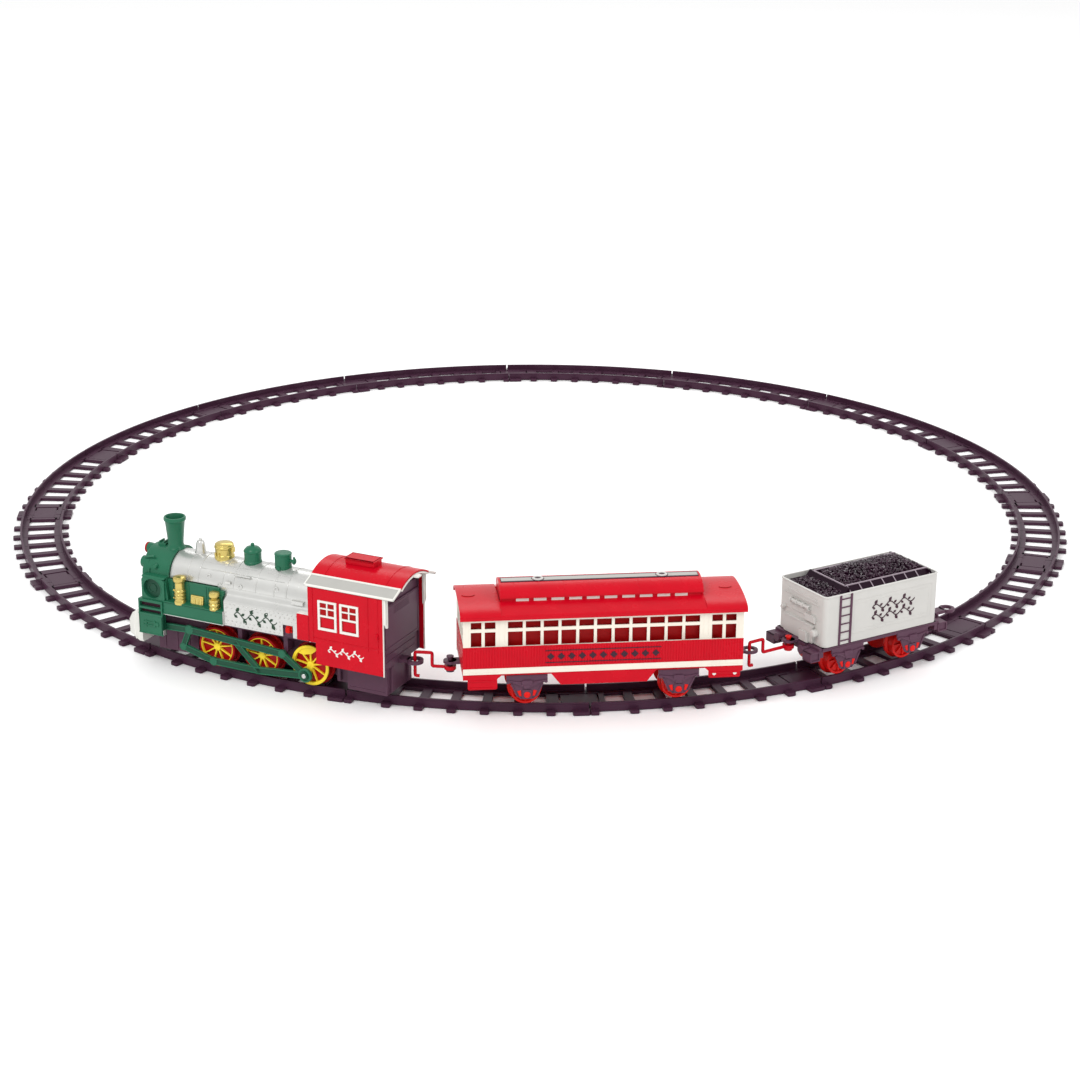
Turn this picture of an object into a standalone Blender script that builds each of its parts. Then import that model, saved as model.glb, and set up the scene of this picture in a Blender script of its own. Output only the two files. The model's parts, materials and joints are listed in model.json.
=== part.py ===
"""Electric train set: a ring of sixteen snap-together track sections, a battery locomotive,
a passenger coach and a coal tender, joined by two drawbars.

Frame: +Z up, origin on the floor under the middle of the whole set. Each vehicle is built in its
own frame, x towards its rear, y towards the middle of the ring, z up from the floor, with lengths
in millimetres, and is then placed on the ring.
"""
import math

import bmesh
import bpy
from mathutils import Matrix, Vector

MM = 0.001

# Track, millimetres and degrees
RING_CENTRE_Y = 7.838
SECTION_COUNT = 16
SECTION_ANGLE = 360.0 / SECTION_COUNT
FIRST_SEAM_ANGLE = 4.61
OUTER_WALL = (511.5, 513.5)
INNER_WALL = (474.0, 476.0)
LEDGE_WIDTH = 6.0
RAIL_TOP = 8.5
RAIL_BOTTOM = 0.4
LEDGE_TOP = 3.6
TIE_REACH = (467.5, 520.5)
TIE_WIDTH = 7.6
TIE_TOP = 3.0
TIE_ANGLES = (3.98, 7.0, 10.0, 13.0, 16.0, 18.96)
JOINT_TIE_START = 0.8
JOINT_TIE_END = 1.66
PLATE_START = 1.6
PLATE_END = 3.8
RAIL_STEPS = 5

# Places of the vehicles: ring angle in degrees, radius in millimetres, slack turn in degrees
LOCO_PLACE = (243.6, 492.8, 0.9)
COACH_PLACE = (275.6, 490.0, 0.8)
TENDER_PLACE = (302.9, 492.3, -1.2)

# Wheels
WHEEL_LIFT = 0.3
TREAD_OUTER = 20.5
TREAD_INNER = 13.2
FLANGE_INNER = 10.0
LOCO_TREAD = 17.2
LOCO_FLANGE = 19.0
LOCO_AXLE_Z = RAIL_TOP + WHEEL_LIFT + LOCO_TREAD
LOCO_AXLES_X = (-45.0, -1.5, 45.0)
CAR_TREAD = 12.3
CAR_FLANGE = 14.3
CAR_AXLE_Z = RAIL_TOP + WHEEL_LIFT + CAR_TREAD
AXLE_RADIUS = 1.6
WHEEL_SEGMENTS = 18

# Side rods
CRANK_OFFSET = (-2.8, -8.0)
ROD_INNER = 22.5
ROD_OUTER = 25.3
CRANK_PIN_RADIUS = 2.0
ROD_BORE = 2.6

# Locomotive body
BOILER_RADIUS = 20.3
BOILER_Z = 79.2
SHELL = 1.4
SMOKEBOX_RADIUS = 22.0
DOME_GAP = 0.35
CAB_HALF = 34.8
ROOF_ARC_Z = 70.4
ROOF_ARC_RADIUS = 44.6

# Drive
GEAR_RADIUS = 9.15
GEAR_SPACING = 18.6
PINION_RADIUS = 3.2
PINION_SPACING = 12.8

# Coach and tender
TRUCK_SPACING_COACH = 61.3
TRUCK_SPACING_TENDER = 34.5
TRUCK_TOP = 38.0
FRAME_BOTTOM = 38.3
COACH_HALF_LENGTH = 112.8
COACH_HALF_WIDTH = 33.5
WINDOW_COUNT = 11
WINDOW_PITCH = 14.2
TENDER_HALF_LENGTH = 60.0
TENDER_HALF_WIDTH = 31.0
DRAWBAR_PIVOT_COACH = -120.5
DRAWBAR_PIVOT_TENDER = -72.5
LOCO_EYE_X = 131.5
COACH_EYE_X = 124.6
TENDER_EYE_X = 98.0
EYE_HOLE = 4.3
EYE_OUTER = 7.0

COLOURS = {
    "track_plastic": ((0.050, 0.012, 0.035), 0.45, 0.0),
    "dark_plastic": ((0.035, 0.010, 0.028), 0.42, 0.0),
    "green_plastic": ((0.010, 0.150, 0.070), 0.35, 0.0),
    "silver_plastic": ((0.560, 0.570, 0.540), 0.38, 0.3),
    "red_plastic": ((0.660, 0.010, 0.025), 0.32, 0.0),
    "white_plastic": ((0.640, 0.650, 0.600), 0.40, 0.0),
    "gold_plating": ((0.600, 0.330, 0.050), 0.30, 0.7),
    "wheel_red": ((0.330, 0.006, 0.006), 0.40, 0.0),
    "truck_wheel_red": ((0.700, 0.015, 0.008), 0.38, 0.0),
    "cream_plastic": ((0.720, 0.690, 0.580), 0.40, 0.0),
    "tender_grey": ((0.540, 0.540, 0.510), 0.42, 0.0),
    "coal_black": ((0.012, 0.010, 0.014), 0.55, 0.0),
    "steel": ((0.550, 0.550, 0.560), 0.30, 1.0),
    "gear_nylon": ((0.750, 0.740, 0.680), 0.50, 0.0),
    "battery_label": ((0.060, 0.110, 0.050), 0.35, 0.2),
}


def clear_scene():
    for obj in list(bpy.data.objects):
        bpy.data.objects.remove(obj, do_unlink=True)


def to_mesh(bm, name="shape"):
    bmesh.ops.remove_doubles(bm, verts=bm.verts, dist=1e-7)
    bmesh.ops.recalc_face_normals(bm, faces=bm.faces)
    mesh = bpy.data.meshes.new(name)
    bm.to_mesh(mesh)
    bm.free()
    return mesh


def solid_between(ring_a, ring_b):
    """Closed solid between two rings of points with the same count."""
    bm = bmesh.new()
    first = [bm.verts.new(Vector(p) * MM) for p in ring_a]
    last = [bm.verts.new(Vector(p) * MM) for p in ring_b]
    count = len(first)
    bm.faces.new(first)
    bm.faces.new(last)
    for i in range(count):
        j = (i + 1) % count
        bm.faces.new((first[i], first[j], last[j], last[i]))
    return to_mesh(bm)


def box(x0, x1, y0, y1, z0, z1):
    corners = [(x0, y0), (x1, y0), (x1, y1), (x0, y1)]
    return solid_between([(x, y, z0) for x, y in corners], [(x, y, z1) for x, y in corners])


def prism(outline, axis, low, high):
    """Extrude an outline: (y, z) points along x, (x, z) points along y, (x, y) points along z."""
    place = {
        "x": lambda a, b, c: (c, a, b),
        "y": lambda a, b, c: (a, c, b),
        "z": lambda a, b, c: (a, b, c),
    }[axis]
    return solid_between(
        [place(a, b, low) for a, b in outline],
        [place(a, b, high) for a, b in outline],
    )


def turned(profile, axis, centre, segments=WHEEL_SEGMENTS):
    """Turn (radius, along) points round an axis through centre; a radius of zero is a pole."""
    turn = {
        "x": lambda r, h, c, s: (h, r * c, r * s),
        "y": lambda r, h, c, s: (r * c, h, r * s),
        "z": lambda r, h, c, s: (r * c, r * s, h),
    }[axis]
    bm = bmesh.new()
    origin = Vector(centre)
    rings = []
    for radius, along in profile:
        if radius == 0:
            rings.append([bm.verts.new((origin + Vector(turn(0, along, 1, 0))) * MM)])
            continue
        ring = []
        for i in range(segments):
            angle = 2 * math.pi * i / segments
            point = Vector(turn(radius, along, math.cos(angle), math.sin(angle)))
            ring.append(bm.verts.new((origin + point) * MM))
        rings.append(ring)
    if profile[0][0] != 0:
        rings.append(rings[0])
    for ring_a, ring_b in zip(rings, rings[1:]):
        for i in range(segments):
            j = (i + 1) % segments
            if len(ring_a) == 1:
                bm.faces.new((ring_a[0], ring_b[j], ring_b[i]))
            elif len(ring_b) == 1:
                bm.faces.new((ring_a[i], ring_a[j], ring_b[0]))
            else:
                bm.faces.new((ring_a[i], ring_a[j], ring_b[j], ring_b[i]))
    return to_mesh(bm)


def rod(axis, radius, centre, low, high, segments=16):
    """Plain cylinder along an axis between two heights counted from centre."""
    return turned([(0, low), (radius, low), (radius, high), (0, high)], axis, centre, segments)


def hull(points):
    bm = bmesh.new()
    for point in points:
        bm.verts.new(Vector(point) * MM)
    result = bmesh.ops.convex_hull(bm, input=bm.verts)
    spare = {g for g in result["geom_interior"] if isinstance(g, bmesh.types.BMVert)}
    bmesh.ops.delete(bm, geom=list(spare), context="VERTS")
    return to_mesh(bm)


def combine(base, tool, operation):
    """Exact boolean of two meshes; both inputs are used up."""
    body = bpy.data.objects.new("body", base)
    cutter = bpy.data.objects.new("cutter", tool)
    for obj in (body, cutter):
        bpy.context.scene.collection.objects.link(obj)
    modifier = body.modifiers.new("boolean", "BOOLEAN")
    modifier.operation = operation
    modifier.solver = "EXACT"
    modifier.object = cutter
    graph = bpy.context.evaluated_depsgraph_get()
    result = bpy.data.meshes.new_from_object(body.evaluated_get(graph))
    for obj in (body, cutter):
        bpy.data.objects.remove(obj, do_unlink=True)
    bpy.data.meshes.remove(base)
    bpy.data.meshes.remove(tool)
    bm = bmesh.new()
    bm.from_mesh(result)
    bpy.data.meshes.remove(result)
    bmesh.ops.remove_doubles(bm, verts=bm.verts, dist=2e-6)
    bmesh.ops.dissolve_degenerate(bm, edges=bm.edges, dist=2e-6)
    bmesh.ops.dissolve_limit(bm, angle_limit=math.radians(0.05), verts=bm.verts, edges=bm.edges)
    bmesh.ops.triangulate(bm, faces=bm.faces)
    return to_mesh(bm)


def join(*meshes):
    result = meshes[0]
    for mesh in meshes[1:]:
        result = combine(result, mesh, "UNION")
    return result


def cut(base, *tools):
    for tool in tools:
        base = combine(base, tool, "DIFFERENCE")
    return base


def mirrored(mesh):
    """The same shape on the other side of the vehicle."""
    copy = mesh.copy()
    copy.transform(Matrix.Scale(-1, 4, (0, 1, 0)))
    copy.flip_normals()
    return copy


def material(name):
    found = bpy.data.materials.get(name)
    if found:
        return found
    colour, roughness, metallic = COLOURS[name]
    made = bpy.data.materials.new(name)
    made.use_nodes = True
    shader = made.node_tree.nodes["Principled BSDF"]
    shader.inputs["Base Color"].default_value = (*colour, 1)
    shader.inputs["Roughness"].default_value = roughness
    shader.inputs["Metallic"].default_value = metallic
    return made


def node(name, mesh, material_name, parent=None, origin=(0, 0, 0), turn=0.0):
    """Make one named piece, its origin at the given point of its vehicle's frame."""
    offset = Vector(origin) * MM
    mesh.transform(Matrix.Translation(-offset))
    mesh.name = name
    mesh.materials.clear()
    mesh.materials.append(material(material_name))
    mesh.shade_smooth()
    mesh.set_sharp_from_angle(angle=math.radians(30))
    obj = bpy.data.objects.new(name, mesh)
    obj.location = offset
    obj.rotation_euler.z = turn
    obj.parent = parent
    bpy.context.scene.collection.objects.link(obj)
    return obj


def vehicle_frame(name, place):
    angle, radius, slack = place
    empty = bpy.data.objects.new(name, None)
    around = math.radians(angle)
    empty.location = Vector(
        (radius * math.cos(around), radius * math.sin(around) + RING_CENTRE_Y, 0)
    ) * MM
    empty.rotation_euler.z = math.radians(angle + 90 + slack)
    bpy.context.scene.collection.objects.link(empty)
    return empty


def arc_points(radius, centre_z, start, end, steps):
    """(across, height) points on a circle, angles in degrees from the +across direction."""
    points = []
    for i in range(steps + 1):
        angle = math.radians(start + (end - start) * i / steps)
        points.append((radius * math.cos(angle), centre_z + radius * math.sin(angle)))
    return points


def ellipse_points(half_width, rise, base_z, steps):
    points = []
    for i in range(steps + 1):
        angle = math.pi * i / steps
        points.append((half_width * math.cos(angle), base_z + rise * math.sin(angle)))
    return points


def perforated_plate(x_breaks, z_breaks, is_hole, y0, y1):
    """Plate in the xz plane made of grid cells, some of them left open."""
    bm = bmesh.new()
    sides = []
    for y in (y0, y1):
        sides.append([[bm.verts.new(Vector((x, y, z)) * MM) for z in z_breaks] for x in x_breaks])
    columns = len(x_breaks) - 1
    rows = len(z_breaks) - 1

    def solid(i, k):
        return 0 <= i < columns and 0 <= k < rows and not is_hole(i, k)

    for i in range(columns):
        for k in range(rows):
            if not solid(i, k):
                continue
            corners = [(i, k), (i + 1, k), (i + 1, k + 1), (i, k + 1)]
            for side in sides:
                bm.faces.new([side[a][b] for a, b in corners])
            neighbours = [(i, k - 1), (i + 1, k), (i, k + 1), (i - 1, k)]
            for edge, neighbour in enumerate(neighbours):
                if solid(*neighbour):
                    continue
                a = corners[edge]
                b = corners[(edge + 1) % 4]
                bm.faces.new((
                    sides[0][a[0]][a[1]], sides[0][b[0]][b[1]],
                    sides[1][b[0]][b[1]], sides[1][a[0]][a[1]],
                ))
    for vert in [v for v in bm.verts if not v.link_faces]:
        bm.verts.remove(vert)
    return to_mesh(bm)


# Track


def swept_rail(profile, start, end, steps):
    """Sweep (radius, z) points round the ring's centre between two angles."""
    bm = bmesh.new()
    rings = []
    for i in range(steps + 1):
        angle = math.radians(start + (end - start) * i / steps)
        rings.append([
            bm.verts.new(Vector((r * math.cos(angle), r * math.sin(angle), z)) * MM)
            for r, z in profile
        ])
    bm.faces.new(rings[0])
    bm.faces.new(rings[-1])
    count = len(profile)
    for ring_a, ring_b in zip(rings, rings[1:]):
        for i in range(count):
            j = (i + 1) % count
            bm.faces.new((ring_a[i], ring_a[j], ring_b[j], ring_b[i]))
    return to_mesh(bm)


def block_profile(inner, outer, low, high):
    return [(inner, low), (outer, low), (outer, high), (inner, high)]


def track_section():
    wall_gap = 0.09
    end_gap = 0.03
    last = SECTION_ANGLE
    outer = [
        (OUTER_WALL[0] - LEDGE_WIDTH, RAIL_BOTTOM), (OUTER_WALL[1], RAIL_BOTTOM),
        (OUTER_WALL[1], RAIL_TOP), (OUTER_WALL[0], RAIL_TOP),
        (OUTER_WALL[0], LEDGE_TOP), (OUTER_WALL[0] - LEDGE_WIDTH, LEDGE_TOP),
    ]
    inner = [
        (INNER_WALL[0], RAIL_BOTTOM), (INNER_WALL[1] + LEDGE_WIDTH, RAIL_BOTTOM),
        (INNER_WALL[1] + LEDGE_WIDTH, LEDGE_TOP), (INNER_WALL[1], LEDGE_TOP),
        (INNER_WALL[1], RAIL_TOP), (INNER_WALL[0], RAIL_TOP),
    ]
    pieces = [
        swept_rail(outer, wall_gap, last - wall_gap, RAIL_STEPS),
        swept_rail(inner, wall_gap, last - wall_gap, RAIL_STEPS),
    ]
    for angle in TIE_ANGLES:
        tie = box(TIE_REACH[0], TIE_REACH[1], -TIE_WIDTH / 2, TIE_WIDTH / 2, 0, TIE_TOP)
        tie.transform(Matrix.Rotation(math.radians(angle), 4, "Z"))
        pieces.append(tie)
    wide = block_profile(TIE_REACH[0], TIE_REACH[1], 0, TIE_TOP)
    pieces.append(swept_rail(wide, end_gap, JOINT_TIE_START, 1))
    pieces.append(swept_rail(wide, last - JOINT_TIE_END, last - end_gap, 1))
    plate = block_profile(INNER_WALL[1] + 2, OUTER_WALL[0] - 2, 0.2, TIE_TOP + 0.3)
    pieces.append(swept_rail(plate, end_gap + 0.005, PLATE_START, 1))
    pieces.append(swept_rail(plate, last - PLATE_END, last - end_gap - 0.005, 1))
    return join(*pieces)


def build_track():
    shape = track_section()
    for index in range(SECTION_COUNT):
        piece = node(f"track_section_{index + 1:02d}", shape.copy(), "track_plastic")
        piece.location.y = RING_CENTRE_Y * MM
        piece.rotation_euler.z = math.radians(FIRST_SEAM_ANGLE + index * SECTION_ANGLE)
    bpy.data.meshes.remove(shape)


# Running gear


def wheel_profile(tread, flange, axle_end):
    """Half outline of a wheelset, from its middle outwards."""
    half = [
        (AXLE_RADIUS, FLANGE_INNER), (flange, FLANGE_INNER), (flange, TREAD_INNER),
        (tread, TREAD_INNER), (tread, TREAD_OUTER),
    ]
    if axle_end > TREAD_OUTER:
        half += [(AXLE_RADIUS, TREAD_OUTER), (AXLE_RADIUS, axle_end)]
    half.append((0, axle_end))
    return [(r, -h) for r, h in reversed(half)] + half


def build_truck(name, wheelset_name, parent, x):
    """Single-axle truck: two side plates, a bolster and its pivot pin, and a wheelset."""
    plate = [
        (x - 16.5, TRUCK_TOP), (x - 16.5, 32.0), (x - 9.4, 18.5), (x - 6.0, 16.8),
        (x + 6.0, 16.8), (x + 9.4, 18.5), (x + 16.5, 32.0), (x + 16.5, TRUCK_TOP),
    ]
    left = prism(plate, "y", -31.0, -29.5)
    right = prism(plate, "y", 29.5, 31.0)
    bolster = box(x - 15.5, x + 15.5, -30.2, 30.2, 35.8, 37.6)
    pin = rod("z", 2.5, (x, 0, 0), 36.6, 43.0, 12)
    frame = cut(
        join(bolster, left, right, pin),
        rod("y", AXLE_RADIUS + 0.4, (x, 0, CAR_AXLE_Z), -40, 40, 12),
    )
    node(name, frame, "dark_plastic", parent, (x, 0, CAR_AXLE_Z))
    profile = wheel_profile(CAR_TREAD, CAR_FLANGE, 31.6)
    wheelset = turned(profile, "y", (x, 0, CAR_AXLE_Z))
    node(wheelset_name, wheelset, "truck_wheel_red", parent, (x, 0, CAR_AXLE_Z))


def build_drive_wheelsets(parent):
    names = ("front_drive_wheelset", "middle_drive_wheelset", "rear_drive_wheelset")
    for name, x in zip(names, LOCO_AXLES_X):
        centre = (x, 0, LOCO_AXLE_Z)
        mesh = turned(wheel_profile(LOCO_TREAD, LOCO_FLANGE, TREAD_OUTER), "y", centre)
        if name.startswith("rear"):
            pin_at = (x + CRANK_OFFSET[0], 0, LOCO_AXLE_Z + CRANK_OFFSET[1])
            outline = [
                (0, TREAD_OUTER - 1), (CRANK_PIN_RADIUS, TREAD_OUTER - 1),
                (CRANK_PIN_RADIUS, ROD_OUTER + 0.4), (3.4, ROD_OUTER + 0.4),
                (3.4, ROD_OUTER + 1.6), (0, ROD_OUTER + 1.6),
            ]
            pin = turned(outline, "y", pin_at, 12)
            mesh = join(mesh, mirrored(pin), pin)
        node(name, mesh, "wheel_red", parent, centre)


def bar(start, end, width, y0, y1):
    """Straight flat bar between two (x, z) points, with square ends past both."""
    a = Vector(start)
    b = Vector(end)
    along = (b - a).normalized()
    side = Vector((-along.y, along.x)) * width / 2
    a = a - along * width * 0.3
    b = b + along * width * 0.3
    outline = [tuple(a + side), tuple(a - side), tuple(b - side), tuple(b + side)]
    return prism(outline, "y", y0, y1)


def build_side_rods(parent):
    crank = (LOCO_AXLES_X[2] + CRANK_OFFSET[0], LOCO_AXLE_Z + CRANK_OFFSET[1])
    knee = (-69.0, 38.6)
    bars = [
        ((-102.0, 37.6), knee, 5.6),
        (knee, (-75.4, 22.6), 5.0),
        ((-75.4, 22.6), (-46.0, 14.6), 5.2),
        ((-46.0, 14.6), (-2.0, 14.2), 5.8),
        ((-2.0, 14.2), crank, 6.2),
        (knee, (21.0, 33.2), 6.0),
        ((-23.0, 34.6), (-3.0, 15.4), 4.8),
        ((21.0, 33.2), (crank[0] - 2.0, crank[1] + 1.8), 5.0),
    ]
    for name, y0, y1 in (
        ("left_side_rod", -ROD_OUTER, -ROD_INNER),
        ("right_side_rod", ROD_INNER, ROD_OUTER),
    ):
        shape = join(*[bar(a, b, width, y0, y1) for a, b, width in bars])
        boss = rod("y", 6.2, (crank[0], 0, crank[1]), y0 - 0.02, y1 + 0.02, 20)
        bore = rod("y", ROD_BORE, (crank[0], 0, crank[1]), y0 - 2, y1 + 2, 12)
        shape = cut(join(shape, boss), bore)
        node(name, shape, "green_plastic", parent, (crank[0], (y0 + y1) / 2, crank[1]))


def ring_gear(radius, bore, x, z):
    profile = [(bore, -2.5), (radius, -2.5), (radius, 2.5), (bore, 2.5)]
    return turned(profile, "y", (x, 0, z), 28)


def build_drive(parent):
    x = LOCO_AXLES_X[2]
    idler_z = LOCO_AXLE_Z + GEAR_SPACING
    pinion_z = idler_z + PINION_SPACING
    node("drive_gear", ring_gear(GEAR_RADIUS, AXLE_RADIUS + 0.3, x, LOCO_AXLE_Z),
         "gear_nylon", parent, (x, 0, LOCO_AXLE_Z))
    node("idler_gear", ring_gear(GEAR_RADIUS, 1.6, x, idler_z),
         "gear_nylon", parent, (x, 0, idler_z))
    node("motor_pinion", ring_gear(PINION_RADIUS, 1.3, x, pinion_z),
         "gear_nylon", parent, (x, 0, pinion_z))
    can = [(0, -3.4), (1.0, -3.4), (1.0, 4.8), (7.6, 4.8), (7.6, 19.0), (2.5, 19.0),
           (2.5, 20.0), (0, 20.0)]
    node("motor", turned(can, "y", (x, 0, pinion_z), 20), "steel", parent, (x, 0, pinion_z))


# Locomotive body


def build_chassis(parent):
    beam = box(-104, 78, -9.3, 9.3, 17, 46.8)
    deck = box(-86, 52, -20.2, 20.2, 46.2, 48)
    nose = box(-106, -66.5, -15, 15, 13, 34)
    tail = box(66.5, 77.5, -14, 14, 14, 36)
    shape = join(beam, deck, nose, tail)
    bracket = join(
        box(23, 35.5, -17.6, -16, 47.4, 61.6),
        box(23, 35.5, -25.5, -16.4, 60.8, 62.2),
        box(23, 35.5, -25.4, -24.3, 53.6, 61.4),
    )
    shape = join(shape, bracket)
    slots = []
    for x in LOCO_AXLES_X:
        slots.append(box(x - 2.1, x + 2.1, -12, 12, 10, LOCO_AXLE_Z))
        slots.append(rod("y", 2.1, (x, 0, LOCO_AXLE_Z), -13, 13, 12))
    gear_bay = box(LOCO_AXLES_X[2] - 11, LOCO_AXLES_X[2] + 11, -4, 4, 9, 70)
    shape = cut(shape, *slots, gear_bay)
    idler_pin = rod("y", 1.2, (LOCO_AXLES_X[2], 0, LOCO_AXLE_Z + GEAR_SPACING), -5.5, 5.5, 10)
    node("loco_chassis", join(shape, idler_pin), "dark_plastic", parent)


def build_boiler(parent):
    outer = [(27.5, 50.5), (27.5, 74.5)] + arc_points(BOILER_RADIUS, BOILER_Z, 2, 178, 16)
    outer += [(-27.5, 74.5), (-27.5, 50.5)]
    inner = [(-26.2, 50.5), (-26.2, 73.8)]
    inner += arc_points(BOILER_RADIUS - SHELL, BOILER_Z, 178, 2, 16)
    inner += [(26.2, 73.8), (26.2, 50.5)]
    shell = prism(outer + inner, "x", -88.6, 52.7)
    below_front = box(-95, -32, -40, 40, 40, 80.4)
    switch_notch = box(24.5, 33.8, -30, -25.8, 40, 60.6)
    shell = cut(shell, below_front, switch_notch)
    bell = turned(
        [(0, 97.0), (4.6, 98.6), (4.0, 101.0), (2.8, 108.5), (1.8, 110.5), (0, 112.4)],
        "z", (-70.3, 0, 0), 16,
    )
    node("boiler_shell", join(shell, bell), "silver_plastic", parent)


def build_smokebox(parent):
    drum = rod("x", SMOKEBOX_RADIUS, (0, 0, BOILER_Z), -116.5, -88.9, 28)
    side_boxes = box(-111.4, -88.9, -29.3, 29.3, 60.5, 80.6)
    chests = box(-114.4, -90.6, -31, 31, 31, 61.2)
    shape = join(drum, side_boxes, chests)
    shape = cut(
        shape,
        rod("x", SMOKEBOX_RADIUS - 1.6, (0, 0, BOILER_Z), -114.5, -80, 28),
        box(-109.8, -80, -27.8, 27.8, 58.7, 79.1),
        box(-112.9, -80, -29.5, 29.5, 20, 59.7),
    )
    board = [
        (20.7, 80.1), (23.5, 80.1), (23.5, 62.4), (29.6, 62.4),
        (29.6, 50.6), (28.2, 50.6), (28.2, 61.0), (20.7, 61.0),
    ]
    far_board = prism(board, "x", -91.4, -32.4)
    near_board = mirrored(far_board)
    lamp = rod("x", 4.2, (0, 0, 95.4), -123.5, -115.5, 16)
    lamp_bracket = box(-110.4, -103.2, -3.4, 3.4, 98, 104.4)
    boss = rod("x", 5.2, (0, 14.5, 88.5), -119.0, -115.5, 16)
    shape = join(shape, far_board, near_board, lamp, lamp_bracket, mirrored(boss), boss)
    node("smokebox_front", shape, "green_plastic", parent)


def on_boiler(profile, x, radius, segments=20):
    """Turned piece whose foot is hollowed to sit on the boiler or smokebox."""
    saddle = rod("x", radius + DOME_GAP, (0, 0, BOILER_Z), -140, 70, 48)
    return cut(turned(profile, "z", (x, 0, 0), segments), saddle)


def build_boiler_mountings(parent):
    chimney = [
        (0, 95.0), (7.6, 95.0), (7.6, 100.6), (6.2, 102.6), (6.4, 108.0), (8.1, 122.4),
        (9.4, 123.6), (9.4, 126.6), (8.8, 127.3), (7.2, 127.3), (6.6, 112.0), (0, 112.0),
    ]
    node("chimney", on_boiler(chimney, -95.0, SMOKEBOX_RADIUS, 24), "green_plastic", parent)
    sand = [
        (0, 95.0), (8.4, 95.0), (8.4, 100.6), (7.6, 101.6), (8.1, 108.4), (8.1, 110.6),
        (6.8, 111.8), (0, 111.9),
    ]
    node("sand_dome", on_boiler(sand, -47.0, BOILER_RADIUS), "gold_plating", parent)
    steam = [
        (0, 95.0), (7.6, 95.0), (7.6, 100.0), (7.2, 100.6), (7.2, 108.6), (5.6, 111.6),
        (1.6, 112.8), (1.6, 114.6), (0, 115.6),
    ]
    node("steam_dome", on_boiler(steam, -19.4, BOILER_RADIUS), "green_plastic", parent)
    valve = [(0, 95.0), (7.3, 95.0), (7.3, 111.2), (6.6, 112.0), (0, 112.0)]
    dome = on_boiler(valve, 9.8, BOILER_RADIUS)
    spout = turned([(0, 15.4), (1.8, 15.4), (1.8, 19.4), (2.8, 19.4), (2.8, 22.0), (0, 22.0)],
                   "x", (0, 0, 106.4), 12)
    node("valve_dome", join(dome, spout), "green_plastic", parent)


def build_cowcatcher(parent):
    points = []
    for side in (-1, 1):
        points += [
            (-114.8, 26 * side, 20.0), (-120.0, 26 * side, 20.0), (-136.5, 13 * side, 20.0),
            (-143.0, 4 * side, 20.0), (-114.8, 26 * side, 50.0), (-117.8, 26 * side, 50.0),
            (-126.5, 24 * side, 42.0), (-136.5, 13 * side, 36.0), (-143.0, 4 * side, 30.0),
        ]
    node("cowcatcher", hull(points), "white_plastic", parent)


def build_cab(parent):
    side = [
        (41.7, 53.2), (41.7, 76.3), (53.1, 76.3), (53.1, 101.2),
        (122.0, 101.2), (122.0, 34.8), (59.1, 34.8), (59.1, 53.2),
    ]
    far_side = prism(side, "y", CAB_HALF - 1.5, CAB_HALF)
    near_side = mirrored(far_side)
    front = box(53.3, 54.8, -CAB_HALF + 0.5, CAB_HALF - 0.5, 54, 101)
    node("cab_body", join(front, near_side, far_side), "red_plastic", parent)


def build_cab_roof(parent):
    x0, x1 = 50.3, 132.5
    span = math.degrees(math.acos(23.2 / ROOF_ARC_RADIUS))
    arch = arc_points(ROOF_ARC_RADIUS, ROOF_ARC_Z, span, 180 - span, 12)
    arch += arc_points(ROOF_ARC_RADIUS - 1.4, ROOF_ARC_Z, 180 - span, span, 12)
    node("cab_roof", prism(arch, "x", x0, x1), "red_plastic", parent)
    frame_radius = ROOF_ARC_RADIUS - 1.7
    outer = [(36.0, 103.0), (23.7, 108.3), (23.0, 106.4)]
    reach = math.degrees(math.acos(21.5 / frame_radius))
    outer += arc_points(frame_radius, ROOF_ARC_Z, reach, 180 - reach, 10)
    outer += [(-23.0, 106.4), (-23.7, 108.3), (-36.0, 103.0)]
    lower = [(-36.0, 101.6), (-23.0, 104.6)]
    lower += arc_points(frame_radius - 1.5, ROOF_ARC_Z, 180 - reach - 1, reach + 1, 10)
    lower += [(23.0, 104.6), (36.0, 101.6)]
    frame = prism(outer + lower, "x", x0 + 0.4, x1 + 0.4)
    post = prism([(29.8, 104.6), (33.8, 102.8), (33.8, 80.0), (31.8, 76.0), (29.8, 76.0)],
                 "x", 122.4, 124.2)
    node("cab_roof_frame", join(frame, mirrored(post), post), "white_plastic", parent)
    hatch = join(box(72.6, 98.4, -6.4, 6.4, 115.4, 118.6), box(71.6, 99.4, -7.4, 7.4, 118.2, 120.0))
    node("roof_hatch", hatch, "red_plastic", parent)


def eye_plate(x_root, x_eye, z0, z1, half_width=4.5):
    """Flat tongue ending in a ring for a drawbar's post."""
    direction = 1 if x_eye > x_root else -1
    near_ring = x_eye - direction * (EYE_HOLE + 0.8)
    tongue = box(min(x_root, near_ring), max(x_root, near_ring), -half_width, half_width, z0, z1)
    ring = turned(
        [(EYE_HOLE, z0 + 0.05), (EYE_OUTER, z0 + 0.05), (EYE_OUTER, z1 - 0.05), (EYE_HOLE, z1 - 0.05)],
        "z", (x_eye, 0, 0), 20,
    )
    return tongue, ring


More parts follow.
